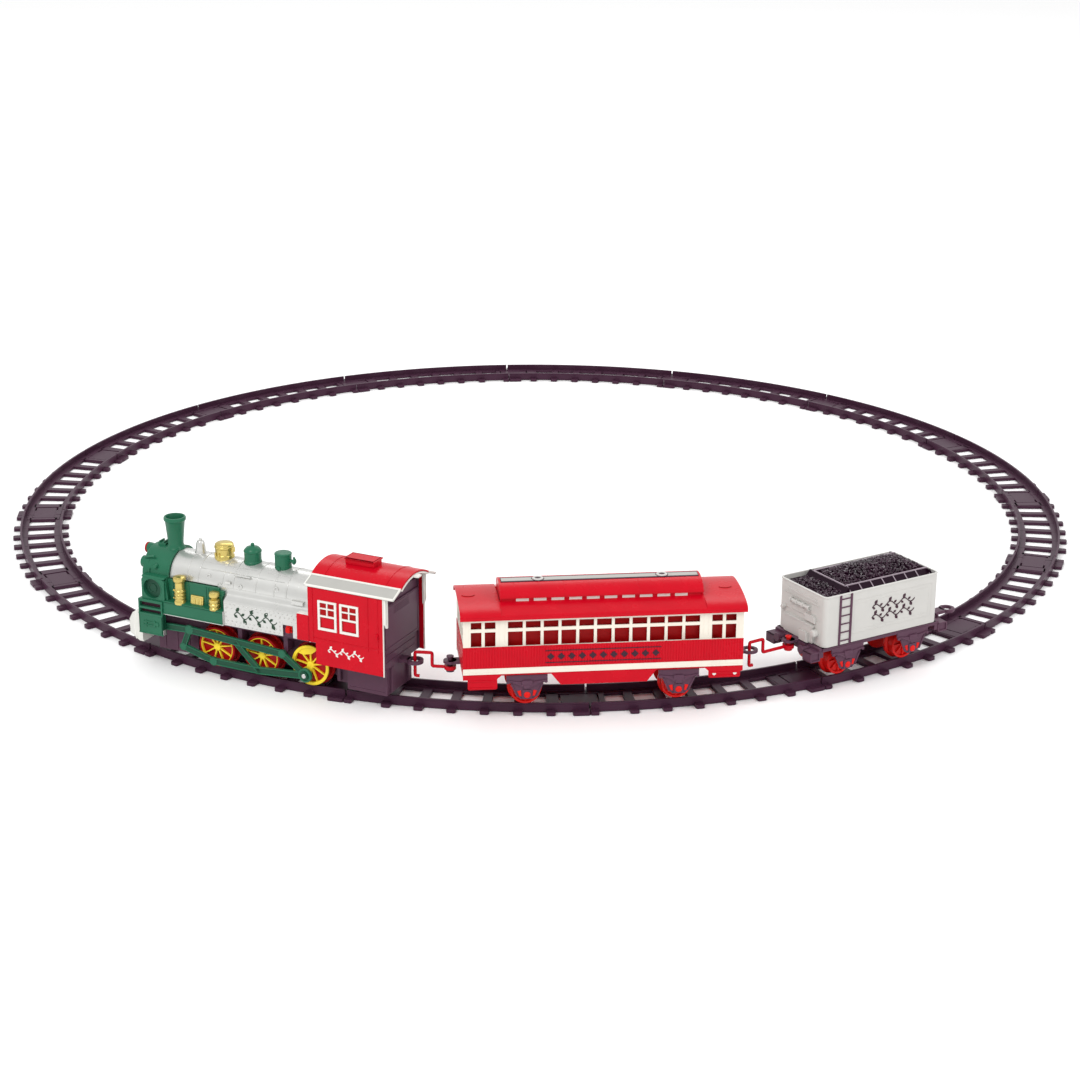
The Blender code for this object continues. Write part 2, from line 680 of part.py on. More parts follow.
def build_battery_case(parent):
    upper = box(84, 118.5, -31, 31, 36, 99)
    lower = box(80, 117, -20.5, 20.5, 12, 36.6)
    shape = cut(
        join(upper, lower),
        box(80.5, 96.5, -29.5, 29.5, 38, 97),
        box(98, 125, -27, 27, 55, 90),
        box(78, 115.5, -19, 19, 13.5, 34.5),
    )
    tongue, ring = eye_plate(116.6, LOCO_EYE_X, 36.9, 39.9)
    node("battery_case", join(shape, tongue, ring), "dark_plastic", parent)
    lid = box(118.8, 120.3, -28.5, 28.5, 53.5, 91.5)
    node("battery_cover", lid, "dark_plastic", parent, (120.3, 0, 53.5))
    for index, z in enumerate((64.2, 80.0)):
        cell = [
            (0, -25.2), (7.2, -25.2), (7.2, 23.6), (2.7, 23.6), (2.7, 25.2), (0, 25.2),
        ]
        piece = turned(cell, "y", (109.5, 0, z), 16)
        node(f"battery_{index + 1}", piece, "battery_label", parent, (109.5, 0, z))


def build_switch(parent):
    knob = join(box(27.8, 32.6, -27.0, -25.9, 54.4, 60.2), box(28.4, 32.0, -29.8, -26.6, 55.0, 59.6))
    node("switch_button", knob, "truck_wheel_red", parent, (30.2, -26.0, 57.3))


def build_locomotive():
    parent = vehicle_frame("locomotive", LOCO_PLACE)
    build_chassis(parent)
    build_drive_wheelsets(parent)
    build_side_rods(parent)
    build_drive(parent)
    build_boiler(parent)
    build_smokebox(parent)
    build_boiler_mountings(parent)
    build_cowcatcher(parent)
    build_cab(parent)
    build_cab_roof(parent)
    build_battery_case(parent)
    build_switch(parent)
    return parent


# Coach


def coach_window_columns():
    """Breaks along the coach between posts and windows: end pairs and the long row."""
    row_start = -WINDOW_COUNT * WINDOW_PITCH / 2 + 1.4
    holes = [(-106.4, -97.8), (-95.4, -86.8)]
    for index in range(WINDOW_COUNT):
        start = row_start + index * WINDOW_PITCH
        holes.append((start, start + WINDOW_PITCH - 2.8))
    holes += [(86.8, 95.4), (97.8, 106.4)]
    breaks = [-COACH_HALF_LENGTH + 0.2]
    for low, high in holes:
        breaks += [low, high]
    return breaks + [COACH_HALF_LENGTH - 0.2]


def build_coach_shells(parent):
    side = [
        (-112.8, 63.8), (112.8, 63.8), (112.8, 36.0), (110.5, 36.0), (110.5, 30.4),
        (85.0, 30.4), (85.0, 36.4), (80.6, 40.3), (43.5, 40.3), (35.0, 29.5), (-34.5, 29.5),
        (-43.0, 40.3), (-80.6, 40.3), (-85.4, 36.4), (-85.4, 27.4), (-109.0, 27.4),
        (-109.0, 36.0), (-112.8, 36.0),
    ]
    near = prism(side, "y", -COACH_HALF_WIDTH, -COACH_HALF_WIDTH + 1.5)
    far = prism(side, "y", COACH_HALF_WIDTH - 1.5, COACH_HALF_WIDTH)
    ends = [box(x, x + 1.3, -33.0, 33.0, 41.2, 63.5) for x in (-112.5, 111.2)]
    node("coach_body", join(near, ends[0], far, ends[1]), "red_plastic", parent)
    breaks = coach_window_columns()
    levels = [64.1, 66.0, 86.2, 88.3]

    def is_hole(column, row):
        return row == 1 and column % 2 == 1

    band_near = perforated_plate(breaks, levels, is_hole, -33.3, -31.9)
    band_far = perforated_plate(breaks, levels, is_hole, 31.9, 33.3)
    end_frames = [box(x, x + 1.2, -32.6, 32.6, 64.3, 88.1) for x in (-112.3, 111.1)]
    band = join(band_near, end_frames[0], band_far, end_frames[1])
    node("coach_window_band", band, "cream_plastic", parent)


def pivot_pin(x):
    """Headed pin that hangs under a tongue and carries a drawbar's ring."""
    return turned(
        [(0, 31.0), (3.4, 31.0), (3.4, 32.6), (1.8, 32.6), (1.8, 39.4), (0, 39.4)],
        "z", (x, 0, 0), 12,
    )


def build_coach_base(parent):
    floor = box(-110.6, 110.6, -31.5, 31.5, FRAME_BOTTOM, 40.3)
    lining = cut(
        box(-80.0, 80.0, -26.5, 26.5, 39.6, 87.6),
        box(-78.8, 78.8, -25.3, 25.3, 41.0, 90.0),
    )
    shape = join(floor, lining)
    tongue, ring = eye_plate(109.5, COACH_EYE_X, 38.5, 40.7)
    front_tongue = box(-126.0, -109.5, -5.0, 5.0, 38.6, 40.8)
    shape = join(shape, front_tongue, pivot_pin(DRAWBAR_PIVOT_COACH), tongue, ring)
    holes = [rod("z", 3.0, (x, 0, 0), 30, 60, 16) for x in (-TRUCK_SPACING_COACH, TRUCK_SPACING_COACH)]
    node("coach_base", cut(shape, *holes), "red_plastic", parent)


def build_coach_roof(parent):
    arch = [(35.9, 88.7)] + ellipse_points(35.9, 6.2, 90.2, 14) + [(-35.9, 88.7)]
    inside = [(-34.5, 88.7)] + list(reversed(ellipse_points(34.5, 4.8, 90.2, 14))) + [(34.5, 88.7)]
    low = [(36.0, 88.6), (36.0, 90.4), (17.4, 95.2), (-17.4, 95.2), (-36.0, 90.4), (-36.0, 88.6)]
    low += [(-34.6, 88.6), (-34.6, 89.3), (-17.0, 93.8), (17.0, 93.8), (34.6, 89.3), (34.6, 88.6)]
    middle = prism(low, "x", -82.6, 82.6)
    ends = []
    for x0, x1, wall in ((-115.0, -82.0, -83.2), (82.0, 115.0, 82.0)):
        ends.append(prism(arch + inside, "x", x0, x1))
        ends.append(prism(arch, "x", wall, wall + 1.2))
    node("coach_roof", join(middle, *ends), "red_plastic", parent)
    outer = ellipse_points(19.4, 8.9, 99.2, 12)
    shell = prism(outer + list(reversed(ellipse_points(18.0, 7.6, 99.2, 12))), "x", -81.7, 81.7)
    slots = 10
    pitch = 14.2
    breaks = [-81.0]
    for index in range(slots):
        start = (index - slots / 2) * pitch + 2.0
        breaks += [start, start + pitch - 4.0]
    breaks.append(81.0)

    def is_slot(column, row):
        return row == 1 and column % 2 == 1

    wall = perforated_plate(breaks, [95.5, 95.8, 98.7, 101.0], is_slot, 16.7, 17.9)
    caps = []
    for x in (-81.5, 80.4):
        cap = [(17.8, 95.5)] + ellipse_points(19.0, 8.5, 99.2, 12)
        caps.append(prism(cap + [(-17.8, 95.5)], "x", x, x + 1.1))
    vents = [rod("z", 4.4, (x, 0, 0), 107.2, 109.3, 16) for x in (-49.8, 50.6)]
    shape = join(shell, mirrored(wall), wall, *caps, *vents)
    node("coach_clerestory", shape, "red_plastic", parent)


def build_coach():
    parent = vehicle_frame("coach", COACH_PLACE)
    build_coach_base(parent)
    build_coach_shells(parent)
    build_coach_roof(parent)
    build_truck("coach_front_truck", "coach_front_wheelset", parent, -TRUCK_SPACING_COACH)
    build_truck("coach_rear_truck", "coach_rear_wheelset", parent, TRUCK_SPACING_COACH)
    return parent


# Tender


def rounded_rectangle(half_x, half_y, radius, steps=4):
    points = []
    corners = [(1, 1, 0), (-1, 1, 90), (-1, -1, 180), (1, -1, 270)]
    for sign_x, sign_y, start in corners:
        for i in range(steps + 1):
            angle = math.radians(start + 90 * i / steps)
            points.append((
                sign_x * (half_x - radius) + radius * math.cos(angle),
                sign_y * (half_y - radius) + radius * math.sin(angle),
            ))
    return points


def build_tender_body(parent):
    outer = prism(rounded_rectangle(TENDER_HALF_LENGTH, TENDER_HALF_WIDTH, 4.8), "z", 39.9, 83.6)
    inner = prism(rounded_rectangle(58.4, 29.4, 3.3), "z", 38.0, 86.0)
    node("tender_body", cut(outer, inner), "tender_grey", parent)
    deck = prism(rounded_rectangle(58.0, 29.0, 2.9), "z", 78.0, 80.0)
    bunker = []
    for side in (-1, 1):
        bunker += [(-33.5, 28.0 * side, 79.4), (53.0, 27.0 * side, 79.4)]
        bunker += [(-32.0, 20.5 * side, 86.2), (52.0, 20.5 * side, 86.2)]
    heap = []
    for side in (-1, 1):
        heap += [(-30.0, 19.0 * side, 85.0), (50.5, 19.0 * side, 85.0)]
        heap += [(-20.0, 9.0 * side, 90.4), (46.0, 9.0 * side, 90.4)]
        heap += [(-8.0, 2.0 * side, 92.2), (36.0, 2.0 * side, 92.2)]
    low_coal = []
    for side in (-1, 1):
        low_coal += [(-55.0, 24.0 * side, 79.4), (-33.0, 27.0 * side, 79.4)]
        low_coal += [(-51.0, 19.0 * side, 82.4), (-33.0, 21.0 * side, 83.0)]
    node("coal_bunker", join(deck, hull(bunker), hull(heap), hull(low_coal)), "coal_black", parent)


def build_tender_underframe(parent):
    plate = box(-60.5, 60.5, -30.3, 30.3, FRAME_BOTTOM, 39.6)
    shape = plate
    for end in (-1, 1):
        beam = box(*sorted((59.0 * end, 63.6 * end)), -29.8, 29.8, 31.5, 39.6)
        shape = join(shape, beam)
        for side in (-1, 1):
            step = box(*sorted((62.6 * end, 73.0 * end)), *sorted((19.0 * side, 30.6 * side)), 29.0, 37.4)
            shape = join(shape, step)
    front_tongue = box(-78.0, -61.0, -5.0, 5.0, 38.6, 40.5)
    tongue, ring = eye_plate(61.0, TENDER_EYE_X, 31.8, 34.6)
    shape = join(shape, front_tongue, pivot_pin(DRAWBAR_PIVOT_TENDER), tongue, ring)
    holes = [rod("z", 3.0, (x, 0, 0), 30, 60, 16)
             for x in (-TRUCK_SPACING_TENDER, TRUCK_SPACING_TENDER)]
    node("tender_underframe", cut(shape, *holes), "dark_plastic", parent)


def build_tender():
    parent = vehicle_frame("tender", TENDER_PLACE)
    build_tender_underframe(parent)
    build_tender_body(parent)
    build_truck("tender_front_truck", "tender_front_wheelset", parent, -TRUCK_SPACING_TENDER)
    build_truck("tender_rear_truck", "tender_rear_wheelset", parent, TRUCK_SPACING_TENDER)
    return parent


# Drawbars


def build_drawbar(name, pivot_vehicle, pivot_x, eye_vehicle, eye_x):
    """Cranked bar from its pivot ring to the post that drops through the next vehicle's eye."""
    bpy.context.view_layer.update()
    pivot = pivot_vehicle.matrix_world @ Vector((pivot_x * MM, 0, 0))
    eye = eye_vehicle.matrix_world @ Vector((eye_x * MM, 0, 0))
    run = (eye - pivot) / MM
    length = run.length
    outline = [
        (3.4, 33.2), (length - 12.6, 33.2), (length - 12.6, 44.8), (length - 1.4, 44.8),
        (length - 1.4, 27.0), (length - 4.4, 27.0), (length - 4.4, 24.6), (length + 1.4, 24.6),
        (length + 1.4, 47.6), (length - 15.4, 47.6), (length - 15.4, 36.0), (3.4, 36.0),
    ]
    bar_shape = prism(outline, "y", -1.4, 1.4)
    ring = turned([(2.3, 33.1), (5.0, 33.1), (5.0, 36.1), (2.3, 36.1)], "z", (0, 0, 0), 16)
    shape = join(ring, bar_shape)
    piece = node(name, shape, "red_plastic")
    piece.location = pivot
    piece.rotation_euler.z = math.atan2(run.y, run.x)


def build():
    clear_scene()
    build_track()
    locomotive = build_locomotive()
    coach = build_coach()
    tender = build_tender()
    build_drawbar("front_drawbar", coach, DRAWBAR_PIVOT_COACH, locomotive, LOCO_EYE_X)
    build_drawbar("rear_drawbar", tender, DRAWBAR_PIVOT_TENDER, coach, COACH_EYE_X)


build()
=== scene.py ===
"""Looks of the electric train set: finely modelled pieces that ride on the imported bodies.

Each vehicle's pieces are built in its own frame, x towards its rear, y towards the middle of the
ring, z up from the floor, in millimetres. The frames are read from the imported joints.
"""
import json
import math
import random

import bmesh
import bpy
from mathutils import Matrix, Vector


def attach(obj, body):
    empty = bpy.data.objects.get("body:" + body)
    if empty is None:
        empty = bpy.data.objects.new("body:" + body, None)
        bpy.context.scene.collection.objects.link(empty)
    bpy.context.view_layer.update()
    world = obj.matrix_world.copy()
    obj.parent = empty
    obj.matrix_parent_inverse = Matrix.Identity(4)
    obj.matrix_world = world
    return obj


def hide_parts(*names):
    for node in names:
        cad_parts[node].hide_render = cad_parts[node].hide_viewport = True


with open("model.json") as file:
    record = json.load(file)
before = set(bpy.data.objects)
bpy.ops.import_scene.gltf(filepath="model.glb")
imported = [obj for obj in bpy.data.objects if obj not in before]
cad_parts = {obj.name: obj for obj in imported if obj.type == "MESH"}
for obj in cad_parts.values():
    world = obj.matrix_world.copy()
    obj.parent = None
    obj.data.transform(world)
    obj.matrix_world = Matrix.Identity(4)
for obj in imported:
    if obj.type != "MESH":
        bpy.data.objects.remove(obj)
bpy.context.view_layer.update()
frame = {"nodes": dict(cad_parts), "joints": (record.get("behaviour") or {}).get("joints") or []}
JOINTS = {joint["name"]: joint for joint in frame["joints"]}
MM = 0.001
WALL = 1.4

# Camera: place from the ring's centre in metres, angles in degrees
CAMERA_BACK = 2.2889
CAMERA_HEIGHT = 0.7792
CAMERA_PITCH = 19.569
CAMERA_ROLL = 0.326
CAMERA_LENS = 79.84

# Track, millimetres and degrees
SECTION_COUNT = 16
SECTION_ANGLE = 360 / SECTION_COUNT
FIRST_SEAM_ANGLE = 4.61
RAIL_TOP = 8.5
TIE_TOP = 3
TIE_ANGLES = (3.98, 7, 10, 13, 16, 18.96)
TIE_REACH = (467.5, 520.5)

# Wheels
LOCO_AXLES_X = (-45, -1.5, 45)
LOCO_AXLE_Z = 26
CAR_AXLE_Z = 21.1
CRANK = (LOCO_AXLES_X[2] - 2.8, LOCO_AXLE_Z - 8)

# Locomotive
BOILER_Z = 79.2
BOILER_RADIUS = 20.3
SKIRT_HALF = 27.5
CAB_SIDE = 34.8
ROOF_ARC_Z = 70.4
ROOF_ARC_RADIUS = 44.6
LOCO_EYE_X = 131.5

# Coach
COACH_TRUCK_X = 61.3
COACH_EYE_X = 124.6
WINDOW_PITCH = 14.2
WINDOW_COUNT = 11
SLOT_COUNT = 10
SLOT_LENGTH = 10.2
COACH_ROOF_HALF = 35.9
COACH_ROOF_Z = 90.2
COACH_ROOF_RISE = 6.1

# Tender
TENDER_TRUCK_X = 34.5
TENDER_EYE_X = 98
TENDER_HALF_LENGTH = 60
TENDER_HALF_WIDTH = 31


def joint_place(name):
    return Vector(JOINTS[name]["pos_m"])


def vehicle_frame(front_joint, rear_joint):
    """Millimetre frame of a vehicle: midway between two joints, its x axis towards the rear one."""
    front = joint_place(front_joint)
    rear = joint_place(rear_joint)
    middle = (front + rear) / 2
    middle.z = 0
    turn = math.atan2((rear - front).y, (rear - front).x)
    return Matrix.Translation(middle) @ Matrix.Rotation(turn, 4, "Z") @ Matrix.Scale(MM, 4)


RING_CENTRE = joint_place("locomotive_lap")
LOCO = vehicle_frame("front_drive_wheels_roll", "rear_drive_wheels_roll")
COACH = vehicle_frame("coach_front_truck_swivel", "coach_rear_truck_swivel")
TENDER = vehicle_frame("tender_front_truck_swivel", "tender_rear_truck_swivel")


# Materials


def plastic(name, colour, roughness, metallic=0, mottle=0.05, grain=0.06, grain_size=0.0005,
            streak=0, specular=0.25):
    """Moulded plastic: uneven colour and gloss from slow noise, fine grain as bump."""
    made = bpy.data.materials.new(name)
    made.use_nodes = True
    nodes = made.node_tree.nodes
    links = made.node_tree.links
    shader = nodes["Principled BSDF"]
    shader.inputs["Metallic"].default_value = metallic
    shader.inputs["Specular IOR Level"].default_value = 0.5 if metallic else specular
    where = nodes.new("ShaderNodeTexCoord")
    slow = nodes.new("ShaderNodeTexNoise")
    slow.inputs["Scale"].default_value = 55
    slow.inputs["Detail"].default_value = 5
    links.new(where.outputs["Object"], slow.inputs["Vector"])
    ramp = nodes.new("ShaderNodeValToRGB")
    ramp.color_ramp.elements[0].position = 0.3
    ramp.color_ramp.elements[1].position = 0.7
    ramp.color_ramp.elements[0].color = (*(c * (1 - mottle) for c in colour), 1)
    ramp.color_ramp.elements[1].color = (*(min(1, c * (1 + mottle)) for c in colour), 1)
    links.new(slow.outputs["Fac"], ramp.inputs["Fac"])
    links.new(ramp.outputs["Color"], shader.inputs["Base Color"])
    gloss = nodes.new("ShaderNodeMapRange")
    gloss.inputs["To Min"].default_value = roughness * 0.85
    gloss.inputs["To Max"].default_value = min(1, roughness * 1.2)
    links.new(slow.outputs["Fac"], gloss.inputs["Value"])
    links.new(gloss.outputs["Result"], shader.inputs["Roughness"])
    fine = nodes.new("ShaderNodeTexNoise")
    fine.inputs["Scale"].default_value = 1 / grain_size
    fine.inputs["Detail"].default_value = 3
    stretch = nodes.new("ShaderNodeMapping")
    stretch.inputs["Scale"].default_value = (1, 1, 1 + streak)
    links.new(where.outputs["Object"], stretch.inputs["Vector"])
    links.new(stretch.outputs["Vector"], fine.inputs["Vector"])
    bump = nodes.new("ShaderNodeBump")
    bump.inputs["Strength"].default_value = grain
    bump.inputs["Distance"].default_value = 0.0002
    links.new(fine.outputs["Fac"], bump.inputs["Height"])
    links.new(bump.outputs["Normal"], shader.inputs["Normal"])
    return made


FINISHES = {
    "track": plastic("track_moulding", (0.050, 0.017, 0.036), 0.34, grain=0.10, specular=0.14),
    "dark": plastic("dark_moulding", (0.092, 0.040, 0.067), 0.34, grain=0.10, specular=0.15),
    "green": plastic("green_moulding", (0.014, 0.118, 0.062), 0.30),
    # Darker copy of the green moulding: painted shade in grooves, recesses, the chimney's bore and rings
    # round bosses and pins.
    "green_painted_shade": plastic("green_moulding_painted_shade", (0.008, 0.060, 0.032), 0.45),
    "silver": plastic("silver_coating", (0.57, 0.57, 0.55), 0.28, metallic=0.65, mottle=0.03, streak=6),
    "red": plastic("red_moulding", (0.500, 0.002, 0.012), 0.26, specular=0.12),
    # Darker copy of the red moulding: painted shade behind window panes, inside the coach and under its
    # floor.
    "red_painted_shade": plastic("red_moulding_painted_shade", (0.330, 0.002, 0.003), 0.42, specular=0.12),
    "white": plastic("white_moulding", (0.700, 0.695, 0.650), 0.38, mottle=0.02),
    "gold": plastic("gold_coating", (0.570, 0.450, 0.135), 0.24, metallic=0.8, mottle=0.08),
    "yellow": plastic("yellow_paint", (0.860, 0.640, 0.030), 0.38),
    # Dark red of the wheels; also painted shade for the crescents on the coach roof.
    "wheel_red": plastic("dark_red_moulding_and_painted_shade", (0.340, 0.003, 0.004), 0.35, specular=0.15),
    "truck_red": plastic("bright_red_moulding", (0.620, 0.008, 0.006), 0.34, specular=0.15),
    "cream": plastic("cream_moulding", (0.740, 0.690, 0.600), 0.38, mottle=0.03),
    "pale": plastic("pale_moulding", (0.520, 0.508, 0.485), 0.36, mottle=0.03),
    "strip": plastic("grey_roof_strip", (0.390, 0.385, 0.360), 0.38, mottle=0.03),
    "coal": plastic("coal", (0.026, 0.007, 0.019), 0.17, mottle=0.5, grain=0.5, grain_size=0.0012,
                    specular=0.4),
    # Lighter copy of the bunker's dark plastic: painted highlight on the bunker's ribs and rims.
    "rim": plastic("bunker_rim_painted_highlight", (0.300, 0.240, 0.280), 0.30),
    "bunker": plastic("bunker_moulding", (0.013, 0.003, 0.010), 0.42, specular=0.10),
    "steel": plastic("steel", (0.62, 0.62, 0.62), 0.25, metallic=1, mottle=0.03),
    "nylon": plastic("nylon", (0.75, 0.74, 0.68), 0.5),
    "label": plastic("cell_sleeve", (0.06, 0.11, 0.05), 0.3),
    "print": plastic("dark_print", (0.040, 0.010, 0.022), 0.5),
    "leaf_print": plastic("green_print", (0.020, 0.050, 0.028), 0.5),
}


# Mesh building


def arc(radius, centre, start, end, steps):
    """Points of a circle's arc, angles in degrees."""
    points = []
    for i in range(steps + 1):
        angle = math.radians(start + (end - start) * i / steps)
        points.append((centre[0] + radius * math.cos(angle), centre[1] + radius * math.sin(angle)))
    return points


def rounded(x0, x1, z0, z1, radius, steps=4):
    """Outline of a rectangle with rounded corners."""
    corners = ((x1, z1, 0), (x0, z1, 90), (x0, z0, 180), (x1, z0, 270))
    points = []
    for x, z, start in corners:
        centre = (x - radius if x == x1 else x + radius, z - radius if z == z1 else z + radius)
        points += arc(radius, centre, start, start + 90, steps)
    return points


def arched_band(outer, inner, centre_z, start, steps):
    """Outline between two radii, from an angle in degrees over the top to its mirror image."""
    end = 180 - start
    centre = (0, centre_z)
    return arc(outer, centre, start, end, steps) + arc(inner, centre, end, start, steps)


def dome(half_width, rise, base_z, steps):
    points = []
    for i in range(steps + 1):
        angle = math.pi * i / steps
        points.append((half_width * math.cos(angle), base_z + rise * math.sin(angle)))
    return points


class Piece:
    """One visible piece made of closed shells that may run into each other."""

    def __init__(self, finish):
        self.bm = bmesh.new()
        self.finishes = [finish]
        self.slot = 0

    def paint(self, finish):
        if finish not in self.finishes:
            self.finishes.append(finish)
        self.slot = self.finishes.index(finish)
        return self

    def face(self, verts):
        face = self.bm.faces.new(verts)
        face.material_index = self.slot
        return face

    def loft(self, rings, closed=False, caps=True):
        """Skin rings of points that all have the same count."""
        rows = [[self.bm.verts.new(point) for point in ring] for ring in rings]
        pairs = list(zip(rows, rows[1:]))
        if closed:
            pairs.append((rows[-1], rows[0]))
        for low, high in pairs:
            for i in range(len(low)):
                j = (i + 1) % len(low)
                self.face((low[i], low[j], high[j], high[i]))
        if caps and not closed:
            self.face(rows[0])
            self.face(rows[-1])
        return self

    def box(self, x0, x1, y0, y1, z0, z1):
        flat = [(x0, y0), (x1, y0), (x1, y1), (x0, y1)]
        return self.loft([[(x, y, z) for x, y in flat] for z in (z0, z1)])

    def pair(self, x0, x1, y0, y1, z0, z1):
        """Box on each side of the vehicle, y measured outwards from its middle."""
        self.box(x0, x1, -y1, -y0, z0, z1)
        return self.box(x0, x1, y0, y1, z0, z1)

    def prism(self, outline, axis, low, high):
        """Extrude (y, z) points along x, (x, z) points along y or (x, y) points along z."""
        place = {
            "x": lambda a, b, c: (c, a, b),
            "y": lambda a, b, c: (a, c, b),
            "z": lambda a, b, c: (a, b, c),
        }[axis]
        return self.loft([[place(a, b, c) for a, b in outline] for c in (low, high)])

    def turned(self, profile, axis, centre, segments=32):
        """Turn (radius, along) points; the profile closes on itself or on the axis."""
        turn = {
            "x": lambda r, h, c, s: (h, r * c, r * s),
            "y": lambda r, h, c, s: (r * c, h, r * s),
            "z": lambda r, h, c, s: (r * c, r * s, h),
        }[axis]
        rings = []
        for radius, along in profile:
            ring = []
            for i in range(segments):
                angle = 2 * math.pi * i / segments
                point = turn(radius, along, math.cos(angle), math.sin(angle))
                ring.append(tuple(p + q for p, q in zip(point, centre)))
            rings.append(ring)
        if profile[0][0] == 0:
            return self.loft(rings[1:-1])
        return self.loft(rings, closed=True)

    def collar(self, inner, outer, low, high, axis, centre, segments=32):
        """Plain ring about an axis, or a disc where its inner radius is 0."""
        profile = [(inner, low), (outer, low), (outer, high), (inner, high)]
        return self.turned(profile, axis, centre, segments)

    def tube(self, path, radius, segments=8):
        """Round bar along a path of points, mitred at each bend."""
        points = [Vector(p) for p in path]
        rings = []
        for i, point in enumerate(points):
            before = points[i] - points[i - 1] if i else points[1] - points[0]
            after = points[i + 1] - points[i] if i + 1 < len(points) else before
            along = (before.normalized() + after.normalized()).normalized()
            side = along.cross(Vector((0.13, 0.21, 0.97))).normalized()
            up = side.cross(along)
            widen = 1 / max(0.5, along.dot(before.normalized()))
            ring = []
            for k in range(segments):
                angle = 2 * math.pi * k / segments
                ring.append(point + (side * math.cos(angle) + up * math.sin(angle)) * radius * widen)
            rings.append(ring)
        return self.loft(rings)

    def plate(self, x_breaks, z_breaks, is_hole, y0, y1):
        """Plate made of grid cells in the xz plane, some of them open."""
        sides = [
            [[self.bm.verts.new((x, y, z)) for z in z_breaks] for x in x_breaks] for y in (y0, y1)
        ]
        columns = len(x_breaks) - 1
        rows = len(z_breaks) - 1

        def solid(i, k):
            return 0 <= i < columns and 0 <= k < rows and not is_hole(i, k)

        for i in range(columns):
            for k in range(rows):
                if not solid(i, k):
                    continue
                corners = [(i, k), (i + 1, k), (i + 1, k + 1), (i, k + 1)]
                for side in sides:
                    self.face([side[a][b] for a, b in corners])
                beside = [(i, k - 1), (i + 1, k), (i, k + 1), (i - 1, k)]
                for edge, cell in enumerate(beside):
                    if solid(*cell):
                        continue
                    a = corners[edge]
                    b = corners[(edge + 1) % 4]
                    self.face((sides[0][a[0]][a[1]], sides[0][b[0]][b[1]],
                               sides[1][b[0]][b[1]], sides[1][a[0]][a[1]]))
        for vert in [v for v in self.bm.verts if not v.link_faces]:
            self.bm.verts.remove(vert)
        return self

    def holed_plate(self, x0, x1, z0, z1, centre, radius, y0, y1, segments=32):
        """Rectangular plate with one round hole."""
        outer = []
        inner = []
        for i in range(segments):
            angle = 2 * math.pi * i / segments
            dx = math.cos(angle)
            dz = math.sin(angle)
            reach = min(
                ((x1 if dx > 0 else x0) - centre[0]) / dx if abs(dx) > 1e-6 else 1e9,
                ((z1 if dz > 0 else z0) - centre[1]) / dz if abs(dz) > 1e-6 else 1e9,
            )
            outer.append((centre[0] + dx * reach, centre[1] + dz * reach))
            inner.append((centre[0] + dx * radius, centre[1] + dz * radius))
        rings = [
            [(x, y0, z) for x, z in outer], [(x, y0, z) for x, z in inner],
            [(x, y1, z) for x, z in inner], [(x, y1, z) for x, z in outer],
        ]
        return self.loft(rings, closed=True)

    def rivets(self, places, radius, out):
        """Round heads at (x, z) places on both sides, their domes reaching out to y = out."""
        for x, z in places:
            for side in (-1, 1):
                base = (out - radius * 0.7) * side
                head = [
                    (radius, base - 0.6 * side), (radius, base),
                    (radius * 0.75, base + radius * 0.45 * side),
                    (radius * 0.2, base + radius * 0.7 * side),
                ]
                rings = []
                for r, y in head:
                    rings.append([
                        (x + r * math.cos(math.pi * i / 4), y, z + r * math.sin(math.pi * i / 4))
                        for i in range(8)
                    ])
                self.loft(rings)
        return self

    def both_sides(self):
        """Add the mirror image of everything so far on the other side of the vehicle."""
        geometry = self.bm.verts[:] + self.bm.edges[:] + self.bm.faces[:]
        made = bmesh.ops.duplicate(self.bm, geom=geometry)["geom"]
        for item in made:
            if isinstance(item, bmesh.types.BMVert):
                item.co.y = -item.co.y
        faces = [item for item in made if isinstance(item, bmesh.types.BMFace)]
        bmesh.ops.reverse_faces(self.bm, faces=faces)
        return self

    def finish(self, name, body, place, replaces=(), bevel=0.25, sharp=35):
        """Turn into an object that rides on a body and stands for CAD nodes."""
        bmesh.ops.recalc_face_normals(self.bm, faces=self.bm.faces)
        mesh = bpy.data.meshes.new(name)
        self.bm.to_mesh(mesh)
        self.bm.free()
        for finish in self.finishes:
            mesh.materials.append(FINISHES[finish])
        mesh.transform(place)
        mesh.shade_smooth()
        obj = bpy.data.objects.new(name, mesh)
        bpy.context.scene.collection.objects.link(obj)
        if bevel:
            modifier = obj.modifiers.new("edges", "BEVEL")
            modifier.width = bevel * MM
            modifier.segments = 2
            modifier.limit_method = "ANGLE"
            modifier.angle_limit = math.radians(sharp)
            modifier.harden_normals = True
        mesh.set_sharp_from_angle(angle=math.radians(sharp))
        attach(obj, body)
        if replaces:
            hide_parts(*replaces)
        return obj


# Ornament in place of lettering


def leaf(piece, x, z, length, width, turn, y0, y1):
    """Pointed oval leaf standing on a side plate."""
    outline = []
    for i in range(12):
        angle = 2 * math.pi * i / 12
        along = math.cos(angle) * length / 2
        across = math.sin(angle) ** 3 * width / 2
        outline.append((
            x + along * math.cos(turn) - across * math.sin(turn),
            z + along * math.sin(turn) + across * math.cos(turn),
        ))
    piece.prism(outline, "y", y0, y1)


